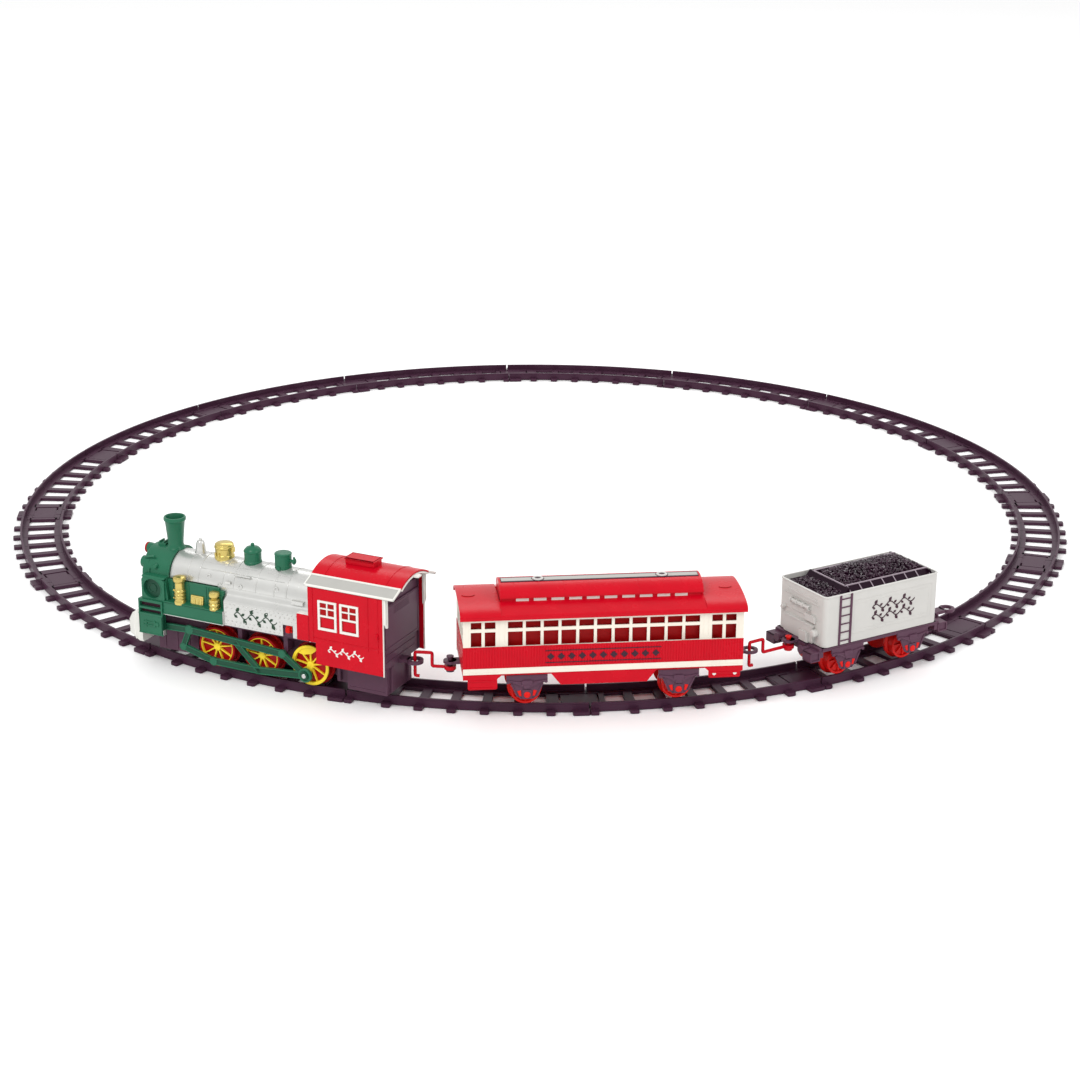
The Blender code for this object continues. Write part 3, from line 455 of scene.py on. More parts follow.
def vine(piece, x0, x1, z, height, y0, y1, waves=3):
    """Wavy stem with a leaf on each crest, printed flat on a side."""
    steps = waves * 10
    upper = []
    lower = []
    for i in range(steps + 1):
        x = x0 + (x1 - x0) * i / steps
        bend = z + height * 0.28 * math.sin(2 * math.pi * waves * i / steps)
        upper.append((x, bend + 0.5))
        lower.append((x, bend - 0.5))
    for i in range(steps):
        quad = [lower[i], lower[i + 1], upper[i + 1], upper[i]]
        piece.prism(quad, "y", y0, y1)
    pitch = (x1 - x0) / waves
    for i in range(waves):
        for part, sign in ((0.25, 1), (0.75, -1)):
            x = x0 + pitch * (i + part)
            leaf(piece, x, z + sign * height * 0.52, height * 0.55, height * 0.36, sign * 0.9, y0, y1)
            leaf(piece, x - pitch * 0.13, z - sign * height * 0.12, height * 0.42, height * 0.26,
                 -sign * 0.6, y0, y1)


def diamonds(piece, x0, x1, z, height, count, y0, y1):
    """Row of diamonds between two thin lines."""
    pitch = (x1 - x0) / count
    for i in range(count):
        x = x0 + pitch * (i + 0.5)
        half = pitch * 0.36
        piece.prism([(x - half, z), (x, z - height / 2), (x + half, z), (x, z + height / 2)],
                    "y", y0, y1)
    for offset in (-0.85, 0.85):
        line_z = z + offset * height
        piece.prism([(x0, line_z - 0.3), (x1, line_z - 0.3), (x1, line_z + 0.3), (x0, line_z + 0.3)],
                    "y", y0, y1)


# Track


def sector_box(piece, angle, x0, x1, y0, y1, z0, z1, corner=0):
    """Box on a ray of the ring: x outwards along the ray, y along the track."""
    outline = rounded(x0, x1, y0, y1, corner, 3) if corner else [(x0, y0), (x1, y0), (x1, y1), (x0, y1)]
    cos = math.cos(math.radians(angle))
    sin = math.sin(math.radians(angle))
    turned = [(x * cos - y * sin, x * sin + y * cos) for x, y in outline]
    piece.prism(turned, "z", z0, z1)


def rail(piece, profile, start, end, steps):
    rings = []
    for i in range(steps + 1):
        angle = math.radians(start + (end - start) * i / steps)
        rings.append([(r * math.cos(angle), r * math.sin(angle), z) for r, z in profile])
    piece.loft(rings)


def track_piece():
    piece = Piece("track")
    last = SECTION_ANGLE
    ledge = 2.9
    lip = 0.35
    outer = [
        (506.5, 0.3), (513.3, 0.3), (513.3, RAIL_TOP - 1.4), (513.3 + lip, RAIL_TOP - 1.2),
        (513.3 + lip, RAIL_TOP), (511.6, RAIL_TOP), (511.6, ledge), (506.5, ledge),
    ]
    inner = [
        (474.2, 0.3), (481.5, 0.3), (481.5, ledge), (475.9, ledge), (475.9, RAIL_TOP),
        (474.2 - lip, RAIL_TOP), (474.2 - lip, RAIL_TOP - 1.2), (474.2, RAIL_TOP - 1.4),
    ]
    for profile in (outer, inner):
        rail(piece, profile, 0.09, last - 0.09, 24)
    for angle in TIE_ANGLES:
        sector_box(piece, angle, TIE_REACH[0], TIE_REACH[1], -3.8, 3.8, 0, TIE_TOP, 1.6)
    sector_box(piece, 0, TIE_REACH[0], TIE_REACH[1], 0.3, 7, 0, TIE_TOP, 1.2)
    sector_box(piece, last, TIE_REACH[0], TIE_REACH[1], -14.3, -0.3, 0, TIE_TOP, 1.6)
    for x0, x1 in ((478, 482.4), (505.1, 509.5)):
        sector_box(piece, 0, x0, x1, 0.3, 13.8, 0.2, TIE_TOP + 0.35)
    sector_box(piece, 0, 480, 507, 9.2, 13.8, 0.2, TIE_TOP + 0.35)
    sector_box(piece, 0, 484, 503.5, -22, 8, 0.9, TIE_TOP + 0.1)
    for x0, x1 in ((478, 482.4), (505.1, 509.5)):
        sector_box(piece, last, x0, x1, -32.8, -0.3, 0.2, TIE_TOP + 0.35)
    sector_box(piece, last, 480, 507, -32.8, -23.6, 0.2, TIE_TOP + 0.35)
    return piece


def build_track():
    for index in range(SECTION_COUNT):
        label = f"{index + 1:02d}"
        track_piece().finish(f"track_curve_{label}", "track", section_place(index),
                             (f"track_section_{label}",), bevel=0.3)


def section_place(index):
    """Place of a section built in millimetres about the ring's centre."""
    turn = math.radians(FIRST_SEAM_ANGLE + index * SECTION_ANGLE)
    return Matrix.Translation(RING_CENTRE) @ Matrix.Rotation(turn, 4, "Z") @ Matrix.Scale(MM, 4)


# Wheels


def spoke(piece, centre, angle, inner, outer, width_in, width_out, y0, y1):
    along = (math.cos(angle), math.sin(angle))
    across = (-along[1], along[0])
    outline = []
    for radius, half in ((inner, width_in / 2), (outer, width_out / 2)):
        pair = [
            (centre[0] + along[0] * radius + across[0] * half * sign,
             centre[1] + along[1] * radius + across[1] * half * sign)
            for sign in (-1, 1)
        ]
        outline += pair if radius == inner else pair[::-1]
    piece.prism(outline, "y", y0, y1)


def drive_wheelset(name, x, rear):
    centre = (x, 0, LOCO_AXLE_Z)
    piece = Piece("wheel_red")
    piece.turned([(1.6, 8), (3.5, 8), (3.5, 10), (18.2, 10), (19, 10.8), (19, 12.6),
                  (18.4, 13.2), (1.6, 13.2)], "y", centre, 64)
    rim_inner = 14.6 if rear else 15.6
    if rear:
        piece.turned([(1.6, 13), (17.2, 13), (17.2, 19.4), (rim_inner + 0.4, 19.4),
                      (rim_inner + 0.4, 17.6), (1.6, 17.6)], "y", centre, 64)
        piece.paint("yellow")
        piece.turned([(rim_inner, 17.4), (17.3, 19.2), (17.3, 20.3), (17, 20.5), (15, 20.5),
                      (rim_inner, 20.2)], "y", centre, 64)
    else:
        piece.turned([(1.6, 13), (17.2, 13), (17.2, 20), (16.8, 20.4), (15.6, 20.4),
                      (15.2, 19.6), (15.2, 17.6), (1.6, 17.6)], "y", centre, 64)
        piece.paint("yellow")
        piece.collar(14.6, 15.3, 17.2, 20.3, "y", centre, 64)
    for i in range(9):
        angle = 2 * math.pi * (i + 0.3) / 9
        spoke(piece, (x, LOCO_AXLE_Z), angle, 2.5, rim_inner + 0.2, 1.3, 0.8, 17.4, 19.4)
    piece.turned([(0, 17), (3.4, 17), (3.4, 19.9), (2.2, 20.4), (2.2, 20.4), (0, 20.4)],
                 "y", centre, 24)
    if rear:
        lift = math.radians(105)
        weight = []
        for i in range(9):
            angle = lift + math.radians(-38 + 76 * i / 8)
            weight.append((x + 14.9 * math.cos(angle), LOCO_AXLE_Z + 14.9 * math.sin(angle)))
        for turn in (0.42, -0.42):
            weight.append((x + 10.2 * math.cos(lift + turn), LOCO_AXLE_Z + 10.2 * math.sin(lift + turn)))
        piece.prism(weight, "y", 17.4, 19.7)
        arm = math.atan2(CRANK[1] - LOCO_AXLE_Z, CRANK[0] - x)
        spoke(piece, (x, LOCO_AXLE_Z), arm, 0, 9.2, 5.6, 4.8, 17.4, 20.3)
        piece.paint("steel")
        piece.turned([(0, 19.5), (2, 19.5), (2, 25.8), (2, 26.6), (1.6, 26.9), (0, 26.9)],
                     "y", (CRANK[0], 0, CRANK[1]), 24)
        # Painted shade: a dark green ring round the foot of the crank pin.
        piece.paint("green_painted_shade")
        piece.turned([(1.9, 25.6), (3.5, 25.6), (3.5, 26.2), (2.6, 26.5), (1.9, 26.3)],
                     "y", (CRANK[0], 0, CRANK[1]), 28)
    piece.both_sides()
    piece.paint("steel")
    piece.collar(0, 1.6, -20, 20, "y", centre, 24)
    body = name.replace("wheelset", "wheels")
    piece.finish(f"{name}_spoked", body, LOCO, (name,), bevel=0.18)


def side_rod(name, side):
    """Truss rod: flat bars with raised lips along their edges, and a boss at the crank pin."""
    knee = (-69, 38.6)
    runs = [
        ((-102, 37.6), knee, 5.6),
        (knee, (-75.4, 22.6), 5),
        ((-75.4, 22.6), (-46, 14.6), 5.2),
        ((-46, 14.6), (-2, 14.2), 5.8),
        ((-2, 14.2), CRANK, 6.2),
        (knee, (21, 33.2), 6),
        ((-23, 34.6), (-3, 15.4), 4.8),
        ((21, 33.2), (CRANK[0] - 2, CRANK[1] + 1.8), 5),
    ]
    # The narrow dark bar between the lips is painted shade in the rod's groove.
    bars = [
        ("green", -0.5, 0.5, 22.5, 24.7), ("green", -0.5, -0.34, 24.3, 25.2),
        ("green", 0.34, 0.5, 24.3, 25.2), ("green_painted_shade", -0.3, 0.3, 24.3, 24.85),
    ]
    piece = Piece("green")
    for start, end, width in runs:
        a = Vector(start)
        b = Vector(end)
        along = (b - a).normalized()
        across = Vector((-along.y, along.x))
        for finish, low, high, y0, y1 in bars:
            corners = ((a, -0.3, low), (b, 0.3, low), (b, 0.3, high), (a, -0.3, high))
            outline = [tuple(spot + (along * reach + across * share) * width)
                       for spot, reach, share in corners]
            piece.paint(finish).prism(outline, "y", y0, y1)
    for x, z, radius in ((*knee, 4), (-75.4, 22.6, 3.2), (-46, 14.6, 3.6), (21, 33.2, 3.6)):
        piece.paint("green")
        piece.turned([(0, 22.6), (radius, 22.6), (radius, 24.9), (radius - 0.7, 25.25),
                      (radius - 0.7, 25.25), (0, 25.25)], "y", (x, 0, z), 24)
        # Painted shade: a dark green ring round each boss.
        piece.paint("green_painted_shade")
        piece.collar(radius - 0.2, radius + 0.45, 24.2, 25, "y", (x, 0, z), 24)
    piece.paint("green")
    piece.turned([(2.7, 22.5), (6.2, 22.5), (6.2, 24.8), (5.7, 25.3), (4.4, 25.3), (4.2, 24.6),
                  (2.7, 24.6)], "y", (CRANK[0], 0, CRANK[1]), 40)
    if side < 0:
        for vert in piece.bm.verts:
            vert.co.y = -vert.co.y
    piece.finish(f"{name}_truss", name, LOCO, (name,), bevel=0.25)


# Locomotive


def boiler_profile(radius, skirt):
    """Half boiler outline from the skirt's foot up to the crown, then mirrored."""
    half = [(skirt, 50.5), (skirt, 71), (skirt - 0.5, 72.2), (radius + 2.4, 74.6),
            (radius + 0.7, 76.4)]
    half += arc(radius, (0, BOILER_Z), 2, 90, 18)
    return half


def shell_points():
    outer = boiler_profile(BOILER_RADIUS, SKIRT_HALF)
    inner = boiler_profile(BOILER_RADIUS - WALL, SKIRT_HALF - WALL)
    outline = outer + [(-y, z) for y, z in reversed(outer[:-1])]
    return outline + [(-y, z) for y, z in inner] + list(reversed(inner[:-1]))


def build_boiler():
    piece = Piece("silver")
    shell = shell_points()
    piece.prism(shell, "x", -32, 24.4)
    piece.prism(shell, "x", 33.9, 52.7)
    above_notch = [(y, max(z, 60.7)) for y, z in shell]
    piece.prism(above_notch, "x", 24.3, 34)
    barrel = arched_band(BOILER_RADIUS, BOILER_RADIUS - WALL, BOILER_Z, 3.5, 36)
    piece.prism(barrel, "x", -88.6, -31.9)
    for y0, y1 in ((-20.7, -19.4), (19.4, 20.7)):
        piece.box(-41, -31.8, y0, y1, 58, 80.8)
    band = arched_band(BOILER_RADIUS + 0.35, BOILER_RADIUS - 0.5, BOILER_Z, 4, 36)
    for x in (-72, -61, -37.5, -27, -5.5, 12, 23.5):
        piece.prism(band, "x", x - 0.45, x + 0.45)
    wide = arched_band(BOILER_RADIUS + 0.5, BOILER_RADIUS - 0.5, BOILER_Z, 4, 36)
    piece.prism(wide, "x", 46, 52.6)
    piece.pair(-86, 46, BOILER_RADIUS - 0.9, BOILER_RADIUS + 0.1, BOILER_Z + 1.3, BOILER_Z + 1.9)
    for side in (-1, 1):
        lines = ((40, -60, 20), (57, -60, -8), (57, 2, 44))
        for angle, x0, x1 in lines:
            cy = side * (BOILER_RADIUS + 0.08) * math.cos(math.radians(angle))
            cz = BOILER_Z + (BOILER_RADIUS + 0.08) * math.sin(math.radians(angle))
            piece.tube([(x0, cy, cz), (x1, cy, cz)], 0.35, 6)
    rail_y = BOILER_RADIUS * math.cos(math.radians(38)) + 2.2
    rail_z = BOILER_Z + BOILER_RADIUS * math.sin(math.radians(38)) + 0.6
    for side in (-1, 1):
        piece.tube([(-26, side * rail_y, rail_z), (-11, side * rail_y, rail_z)], 0.8, 10)
        for x in (-25, -12):
            piece.tube([(x, side * (rail_y - 4), rail_z - 0.6), (x, side * rail_y, rail_z)], 0.6, 8)
        for x, angle in ((-51, 24), (-20, 12), (14, 22), (-40, 8)):
            cy = side * (BOILER_RADIUS - 0.4) * math.cos(math.radians(angle))
            cz = BOILER_Z + (BOILER_RADIUS - 0.4) * math.sin(math.radians(angle))
            piece.collar(1.3, 2.1, -0.4, 1 * side, "y", (x, cy, cz), 16)
    piece.pair(-34, -29, 20, 21.2, 84.2, 86.6)
    piece.pair(30, 41, 19, 22.6, 77.6, 80.8)
    heads = []
    for i in range(20):
        x = -30 + i * 4.2
        if not 22 < x < 36:
            heads += [(x, 52.4), (x + 1.6, 55.4)]
        heads += [(x, 70), (x + 1.6, 67)]
    for x in (-30, 21.6, 38.4, 48.4):
        heads += [(x, 58.6 + 3.6 * i) for i in range(3)]
    piece.rivets(heads, 0.75, 28.1)
    piece.turned([(0, 96), (5, 96), (5, 99.4), (4.6, 100.2), (4.3, 102.6), (3.7, 107.4),
                  (3.1, 109), (2.6, 109.7), (1.3, 109.8), (1.4, 110.9), (0.9, 111.8), (0, 111.8)],
                 "z", (-70.3, 0, 0), 28)
    for x0, x1, half in ((-25.6, -13.2, 9), (3.6, 16, 8.8), (-55.2, -38.8, 9.6)):
        piece.prism(dome(half, 3.1, 96.2, 14), "x", x0, x1)
    piece.finish("boiler_and_skirt", "locomotive", LOCO, ("boiler_shell",), bevel=0.2)
    ornament = Piece("leaf_print")
    vine(ornament, -22, 19, 61.4, 9.5, -27.75, -27.3, waves=3)
    ornament.both_sides()
    ornament.finish("boiler_vine", "locomotive", LOCO, bevel=0)


def build_smokebox():
    piece = Piece("green")
    piece.turned([(0, -23.4), (1.4, -23), (1.8, -21.6), (1.8, -19), (0, -19)],
                 "y", (-101.6, 0, 88.6), 20)
    piece.turned([(0, -119.2), (3.6, -119.2), (5, -118.2), (5.2, -110), (0, -110)],
                 "x", (0, -14.5, 88.5), 28)
    piece.tube([(-114.8, -17, 93.4), (-104, -18.4, 96.4)], 1)
    piece.tube([(-108, -21.6, 86), (-108, -22.4, 80.8)], 0.8)
    recess = (-100.8, 71.4)
    piece.holed_plate(-111.4, -88.9, 60.8, 80.6, recess, 8.6, -29.3, -25)
    piece.prism([(-12, 80.6), (-29.2, 80.6), (-27.4, 82), (-14, 82.4)], "x", -111.4, -89)
    piece.box(-111.4, -88.9, -25.6, -12, 60.8, 80.6)
    piece.collar(8.5, 9.3, -28.8, -29.6, "y", (recess[0], 0, recess[1]), 40)
    for z0, z1, front in ((59.2, 61.6, -31), (53.2, 55, -31.2), (47.8, 49.6, -31.4), (31, 48.4, -31)):
        piece.box(-114.4, -90.6, front, -26, z0, z1)
    piece.box(-114.4, -112.9, -31, 0, 31, 61)
    piece.box(-92.2, -90.6, -31, -26.4, 31, 60)
    piece.box(-114.6, -90.4, -31.3, -30, 31, 32.2)
    for x0, x1, z0, z1 in ((-110, -99, 41.6, 42.6), (-110, -99, 38.6, 39.6),
                           (-107.6, -106.2, 37, 43.4), (-99.6, -97.8, 38, 43.6),
                           (-97.8, -94.6, 39.2, 42.4)):
        piece.box(x0, x1, -31.7, -30.4, z0, z1)
    # Painted shade: a dark green disc on the floor of the round recess, and a dark ring in it.
    piece.paint("green_painted_shade")
    piece.collar(0, 8.7, -25.2, -26, "y", (recess[0], 0, recess[1]), 32)
    piece.collar(3.2, 4.2, -25.8, -26.6, "y", (recess[0] - 1.5, 0, recess[1] - 0.6), 24)
    piece.paint("print")
    piece.box(-113, -92, -27.6, -25.8, 48.6, 60.4)
    piece.paint("green")
    board = [(-90.6, 61), (-90.6, 80.1), (-38.6, 80.1), (-38.6, 78), (-34.2, 78),
             (-34.2, 73.6), (-35.4, 73.6), (-35.4, 61)]
    piece.prism(board, "y", -23.5, -20.8)
    piece.prism([(-20.8, 60.8), (-29.6, 60.8), (-29.6, 62.6), (-23, 63.6), (-20.8, 63.6)],
                "x", -90.6, -32.5)
    piece.box(-90.6, -32.5, -29.6, -28.2, 51.4, 62)
    piece.box(-90.6, -32.5, -30, -28.8, 51.2, 52.2)
    piece.prism([(-90, 63), (-86.4, 63), (-88.6, 79.6), (-90, 79.6)], "y", -27.6, -23.2)
    for x in (-83.6, -68, -51, -48.6):
        piece.box(x - 0.4, x + 0.4, -24, -23, 63.4, 79.4)
    piece.paint("silver")
    piece.box(-90.6, -32.2, -29.2, -26.6, 50.2, 51.3)
    piece.box(-33, -32, -29, -26.6, 50.2, 62.4)
    piece.box(-91.6, -90.4, -30.8, -27, 31.2, 36)
    piece.both_sides()
    piece.paint("green")
    piece.turned([(0, -119), (8, -119), (13, -118.4), (17.4, -117.4), (17.4, -116.6),
                  (18.6, -116.3), (20.8, -115.8), (22, -114.6), (22, -90.4), (22.6, -90.2),
                  (22.6, -88.9), (20.4, -88.9), (20.4, -112), (0, -112)],
                 "x", (0, 0, BOILER_Z), 56)
    for y in (-10.5, 10.5):
        piece.box(-119.4, -117.4, y - 4.5, y + 4.5, 84.6, 86.4)
    piece.tube([(-118.4, -9, 70), (-120, -9, 70), (-120, 9, 70), (-118.4, 9, 70)], 0.7)
    piece.turned([(0, -123.8), (2.6, -123.8), (4.2, -123), (4.6, -121), (4.2, -115),
                  (2.6, -112), (0, -112)], "x", (0, 0, 95.4), 28)
    piece.box(-121, -110, -1.6, 1.6, 88.6, 93)
    piece.box(-110.4, -103, -3.6, 3.6, 99.6, 103)
    for x in (-109.6, -105.6):
        piece.box(x, x + 1.4, -3.6, 3.6, 102.6, 104.6)
    piece.paint("wheel_red")
    piece.turned([(3.3, -124.1), (4.5, -123.8), (4.7, -122.2), (3.9, -121.8), (3.3, -122.2)],
                 "x", (0, 0, 95.4), 28)
    piece.finish("smokebox_and_cylinders", "locomotive", LOCO, ("smokebox_front",), bevel=0.25)
    build_pumps()


def build_pumps():
    """Gold fittings on the running boards: a tall pump, a plate and a short pump."""
    tall = [(0, 61.5), (4.9, 61.5), (5.1, 63.6), (4.6, 64.6), (4.3, 65.4)]
    for z in (66.2, 69.2, 72):
        tall += [(4.3, z), (5, z + 0.6), (5, z + 1.2), (4.3, z + 1.8)]
    tall += [(4, 74.4), (4, 80.6), (4.9, 81.2), (5.4, 82.2), (5.4, 84.4), (4.9, 85.4),
             (3, 86), (0, 86)]
    short = [(0, 62), (4.6, 62), (4.8, 63.6), (4.1, 64.4), (4.8, 65.4), (4.8, 67),
             (4.1, 67.8), (4.8, 68.8), (4.8, 71), (2.8, 72), (3, 72.8), (4.4, 73.6),
             (4.6, 76), (4, 77.4), (1.6, 77.8), (0, 77.8)]
    piece = Piece("gold")
    piece.turned(tall, "z", (-75.4, -26, 0), 32)
    piece.turned(short, "z", (-41.6, -26, 0), 32)
    for z in (66.4, 73.2):
        piece.tube([(-79.6, -27.6, z), (-80.6, -28, z + 0.4)], 0.9)
    plate = [(-25.6, 61.4), (-24.6, 70.4), (-22.8, 70.4), (-22.8, 61.4)]
    piece.prism(plate, "x", -65.6, -53.6)
    piece.prism([(-25.9, 62.6), (-25.1, 69.2), (-24.4, 69.2), (-24.4, 62.6)], "x", -64.4, -54.8)
    for x in (-61.6, -58):
        piece.prism([(-26.3, 63.8), (-25.6, 68), (-25, 68), (-25, 63.8)], "x", x - 0.8, x + 0.8)
    piece.both_sides()
    piece.finish("gold_pumps", "locomotive", LOCO, bevel=0.15)


def build_mountings():
    chimney = Piece("green")
    chimney.turned([
        (7.6, 99), (8.4, 99.6), (7.4, 101.2), (6.5, 103.4), (6.8, 108), (8.3, 123),
        (8.9, 123.8), (9.4, 124.5), (9.4, 126.4), (8.9, 127.3), (7.8, 127.3), (7.2, 126),
        (5.6, 112), (5.2, 99),
    ], "z", (-95, 0, 0), 48)
    # Painted shade: a dark green disc filling the chimney's bore.
    chimney.paint("green_painted_shade")
    chimney.collar(0, 5.6, 99.2, 113, "z", (-95, 0, 0), 32)
    chimney.finish("chimney_flared", "locomotive", LOCO, ("chimney",), bevel=0.2)
    sand = Piece("gold")
    sand.turned([(0, 97), (8.4, 97), (8.4, 101), (7.7, 102), (7.9, 107.2), (8.4, 107.8),
                 (8.3, 108.9), (7.8, 109.3), (7.8, 110.6), (6.6, 111.5), (3, 111.9), (0, 111.9)],
                "z", (-47, 0, 0), 48)
    sand.box(-39.6, -37.4, -1.6, 1.6, 104.5, 108.6)
    sand.tube([(-51.2, -6.6, 99), (-51.2, -7.4, 104)], 0.9)
    sand.tube([(-47.2, -8, 98), (-47.2, -8.3, 104)], 0.9)
    sand.finish("sand_dome_banded", "locomotive", LOCO, ("sand_dome",), bevel=0.2)
    steam = Piece("green")
    steam.turned([(0, 97), (7.6, 97), (7.6, 100.2), (7.1, 100.8), (7.2, 108), (7.6, 108.4),
                  (7.5, 109.4), (5.4, 111.9), (1.9, 113), (1.5, 113.4), (1.7, 114.6),
                  (0.9, 115.6), (0, 115.6)], "z", (-19.4, 0, 0), 48)
    steam.finish("steam_dome_capped", "locomotive", LOCO, ("steam_dome",), bevel=0.2)
    valve = Piece("green")
    valve.turned([(0, 97), (7.2, 97), (7, 100.6), (7, 110.2), (7.3, 110.6), (7.2, 111.5),
                  (6.4, 112), (0, 112)], "z", (9.8, 0, 0), 48)
    valve.tube([(15.9, 0, 105.6), (19.4, 0, 105.6)], 1.4, 12)
    valve.turned([(0, 19), (1.4, 19), (2.7, 19.8), (2.7, 20.8), (1.2, 21.8), (0, 21.8)],
                 "x", (0, 0, 105.6), 20)
    valve.tube([(20.2, 0, 105), (20.2, 0, 109.4)], 1, 10)
    valve.box(8.4, 11, -8, -6.4, 98.6, 101.6)
    valve.finish("valve_dome_with_tap", "locomotive", LOCO, ("valve_dome",), bevel=0.2)


def build_cowcatcher():
    """Rounded wedge: an outline that shrinks from its foot to its top, with slats down its face."""
    def outline(nose, corner_y, side_y, z_nose, z_side):
        half = [(-114.9, side_y, z_side), (corner_y[0], side_y, z_side),
                (corner_y[1], 13, (z_nose + z_side) / 2 - 1), (nose, 4, z_nose)]
        return [(x, -y, z) for x, y, z in half] + [(x, y, z) for x, y, z in reversed(half)]

    rings = [
        outline(-140.8, (-119, -134.6), 24.6, 20, 20),
        outline(-143, (-120.2, -136.6), 26, 22, 22.4),
        outline(-143, (-122.6, -136.6), 26, 29, 40),
        outline(-140, (-120.6, -133.6), 25.6, 33, 47.4),
        outline(-136, (-118, -130), 25, 35.4, 50),
    ]
    piece = Piece("white")
    piece.loft(rings)
    for side in (-1, 1):
        for i in range(7):
            share = i / 6
            foot = Vector((-121.4, 25.4 * side, 22)).lerp(Vector((-142.2, 4.4 * side, 22)), share)
            head = Vector((-122.6, 25.2 * side, 40)).lerp(Vector((-142.2, 4.4 * side, 29.4)), share)
            piece.tube([foot, head], 0.9, 8)
    piece.prism(rounded(-143.6, -138.6, 24, 28.4, 1), "y", -3.2, 3.2)
    piece.finish("cowcatcher_slatted", "locomotive", LOCO, ("cowcatcher",), bevel=0.3)


def cab_window(piece, x0, x1, z0, z1, rail_z):
    """White frame: two by two small panes above one large one."""
    middle = (x0 + x1) / 2
    half_rail = (rail_z + z1) / 2
    xs = [x0, x0 + 2, middle - 0.6, middle + 0.6, x1 - 2, x1]
    zs = [z0, z0 + 2.2, rail_z - 0.8, rail_z + 0.8, half_rail - 0.6, half_rail + 0.6, z1 - 1.8, z1]

    def is_pane(i, k):
        if k in (3, 5):
            return i in (1, 3)
        return k == 1 and 1 <= i <= 3

    piece.plate(xs, zs, is_pane, -35.7, -34.2)


def build_cab():
    piece = Piece("red")
    main = [(53.1, 53.8), (53.1, 101.2), (121.8, 101.2), (121.8, 35.3), (59.6, 35.3), (59.6, 53.8)]
    piece.prism(main, "y", -CAB_SIDE, -CAB_SIDE + 1.3)
    piece.prism([(42.2, 53.8), (42.2, 76), (54, 76), (54, 53.8)], "y", -CAB_SIDE, -CAB_SIDE + 1.3)
    for x in (57.4, 108.2, 117.2):
        piece.box(x - 0.4, x + 0.4, -CAB_SIDE - 0.4, -CAB_SIDE + 0.4, 54.4, 100.6)
    piece.box(57.4, 117.2, -CAB_SIDE - 0.3, -CAB_SIDE + 0.4, 57.6, 58.3)
    piece.turned([(0, -36.2), (1, -36.2), (1.3, -35.4), (1.3, -34.6), (0, -34.6)],
                 "y", (116.6, 0, 70.4), 16)
    piece.tube([(116.6, -36, 70), (117.6, -36, 66)], 0.6, 8)
    piece.paint("white")
    edge = [(41.7, 53.2), (41.7, 76.5), (53, 76.5), (53, 101.2), (122, 101.2),
            (122, 34.8), (59.1, 34.8), (59.1, 53.2)]
    piece.prism(edge, "y", -CAB_SIDE + 1.2, -CAB_SIDE + 1.6)
    piece.paint("red")
    piece.prism(main, "y", -CAB_SIDE + 1.5, -CAB_SIDE + 2)
    piece.paint("white")
    piece.box(121.7, 122.3, -CAB_SIDE - 0.1, -CAB_SIDE + 1.4, 34.8, 101.2)
    cab_window(piece, 62.6, 79.8, 66, 91.4, 78.2)
    cab_window(piece, 82.7, 99.9, 66, 91.4, 78.2)
    # Painted shade: darker red behind the window panes.
    piece.paint("red_painted_shade")
    for x0, x1 in ((64, 78.4), (84.1, 98.5)):
        piece.box(x0, x1, -CAB_SIDE - 0.08, -CAB_SIDE + 0.6, 67.6, 90)
    piece.paint("red")
    for x0, x1 in ((65.8, 76.6), (85.9, 96.7)):
        piece.box(x0, x1, -CAB_SIDE - 0.16, -CAB_SIDE + 0.6, 68.8, 76.6)
    piece.both_sides()
    piece.paint("white")
    piece.box(53, 54.8, -34.2, 34.2, 53.2, 101.2)
    piece.box(42, 53.2, -34, -27.9, 74.6, 76.2)
    piece.box(42, 53.2, 27.9, 34, 74.6, 76.2)
    piece.finish("cab_with_windows", "locomotive", LOCO, ("cab_body",), bevel=0.15)
    ornament = Piece("white")
    vine(ornament, 71, 104, 49, 6, -CAB_SIDE - 0.25, -CAB_SIDE + 0.3, waves=3)
    ornament.both_sides()
    ornament.finish("cab_vine", "locomotive", LOCO, bevel=0)


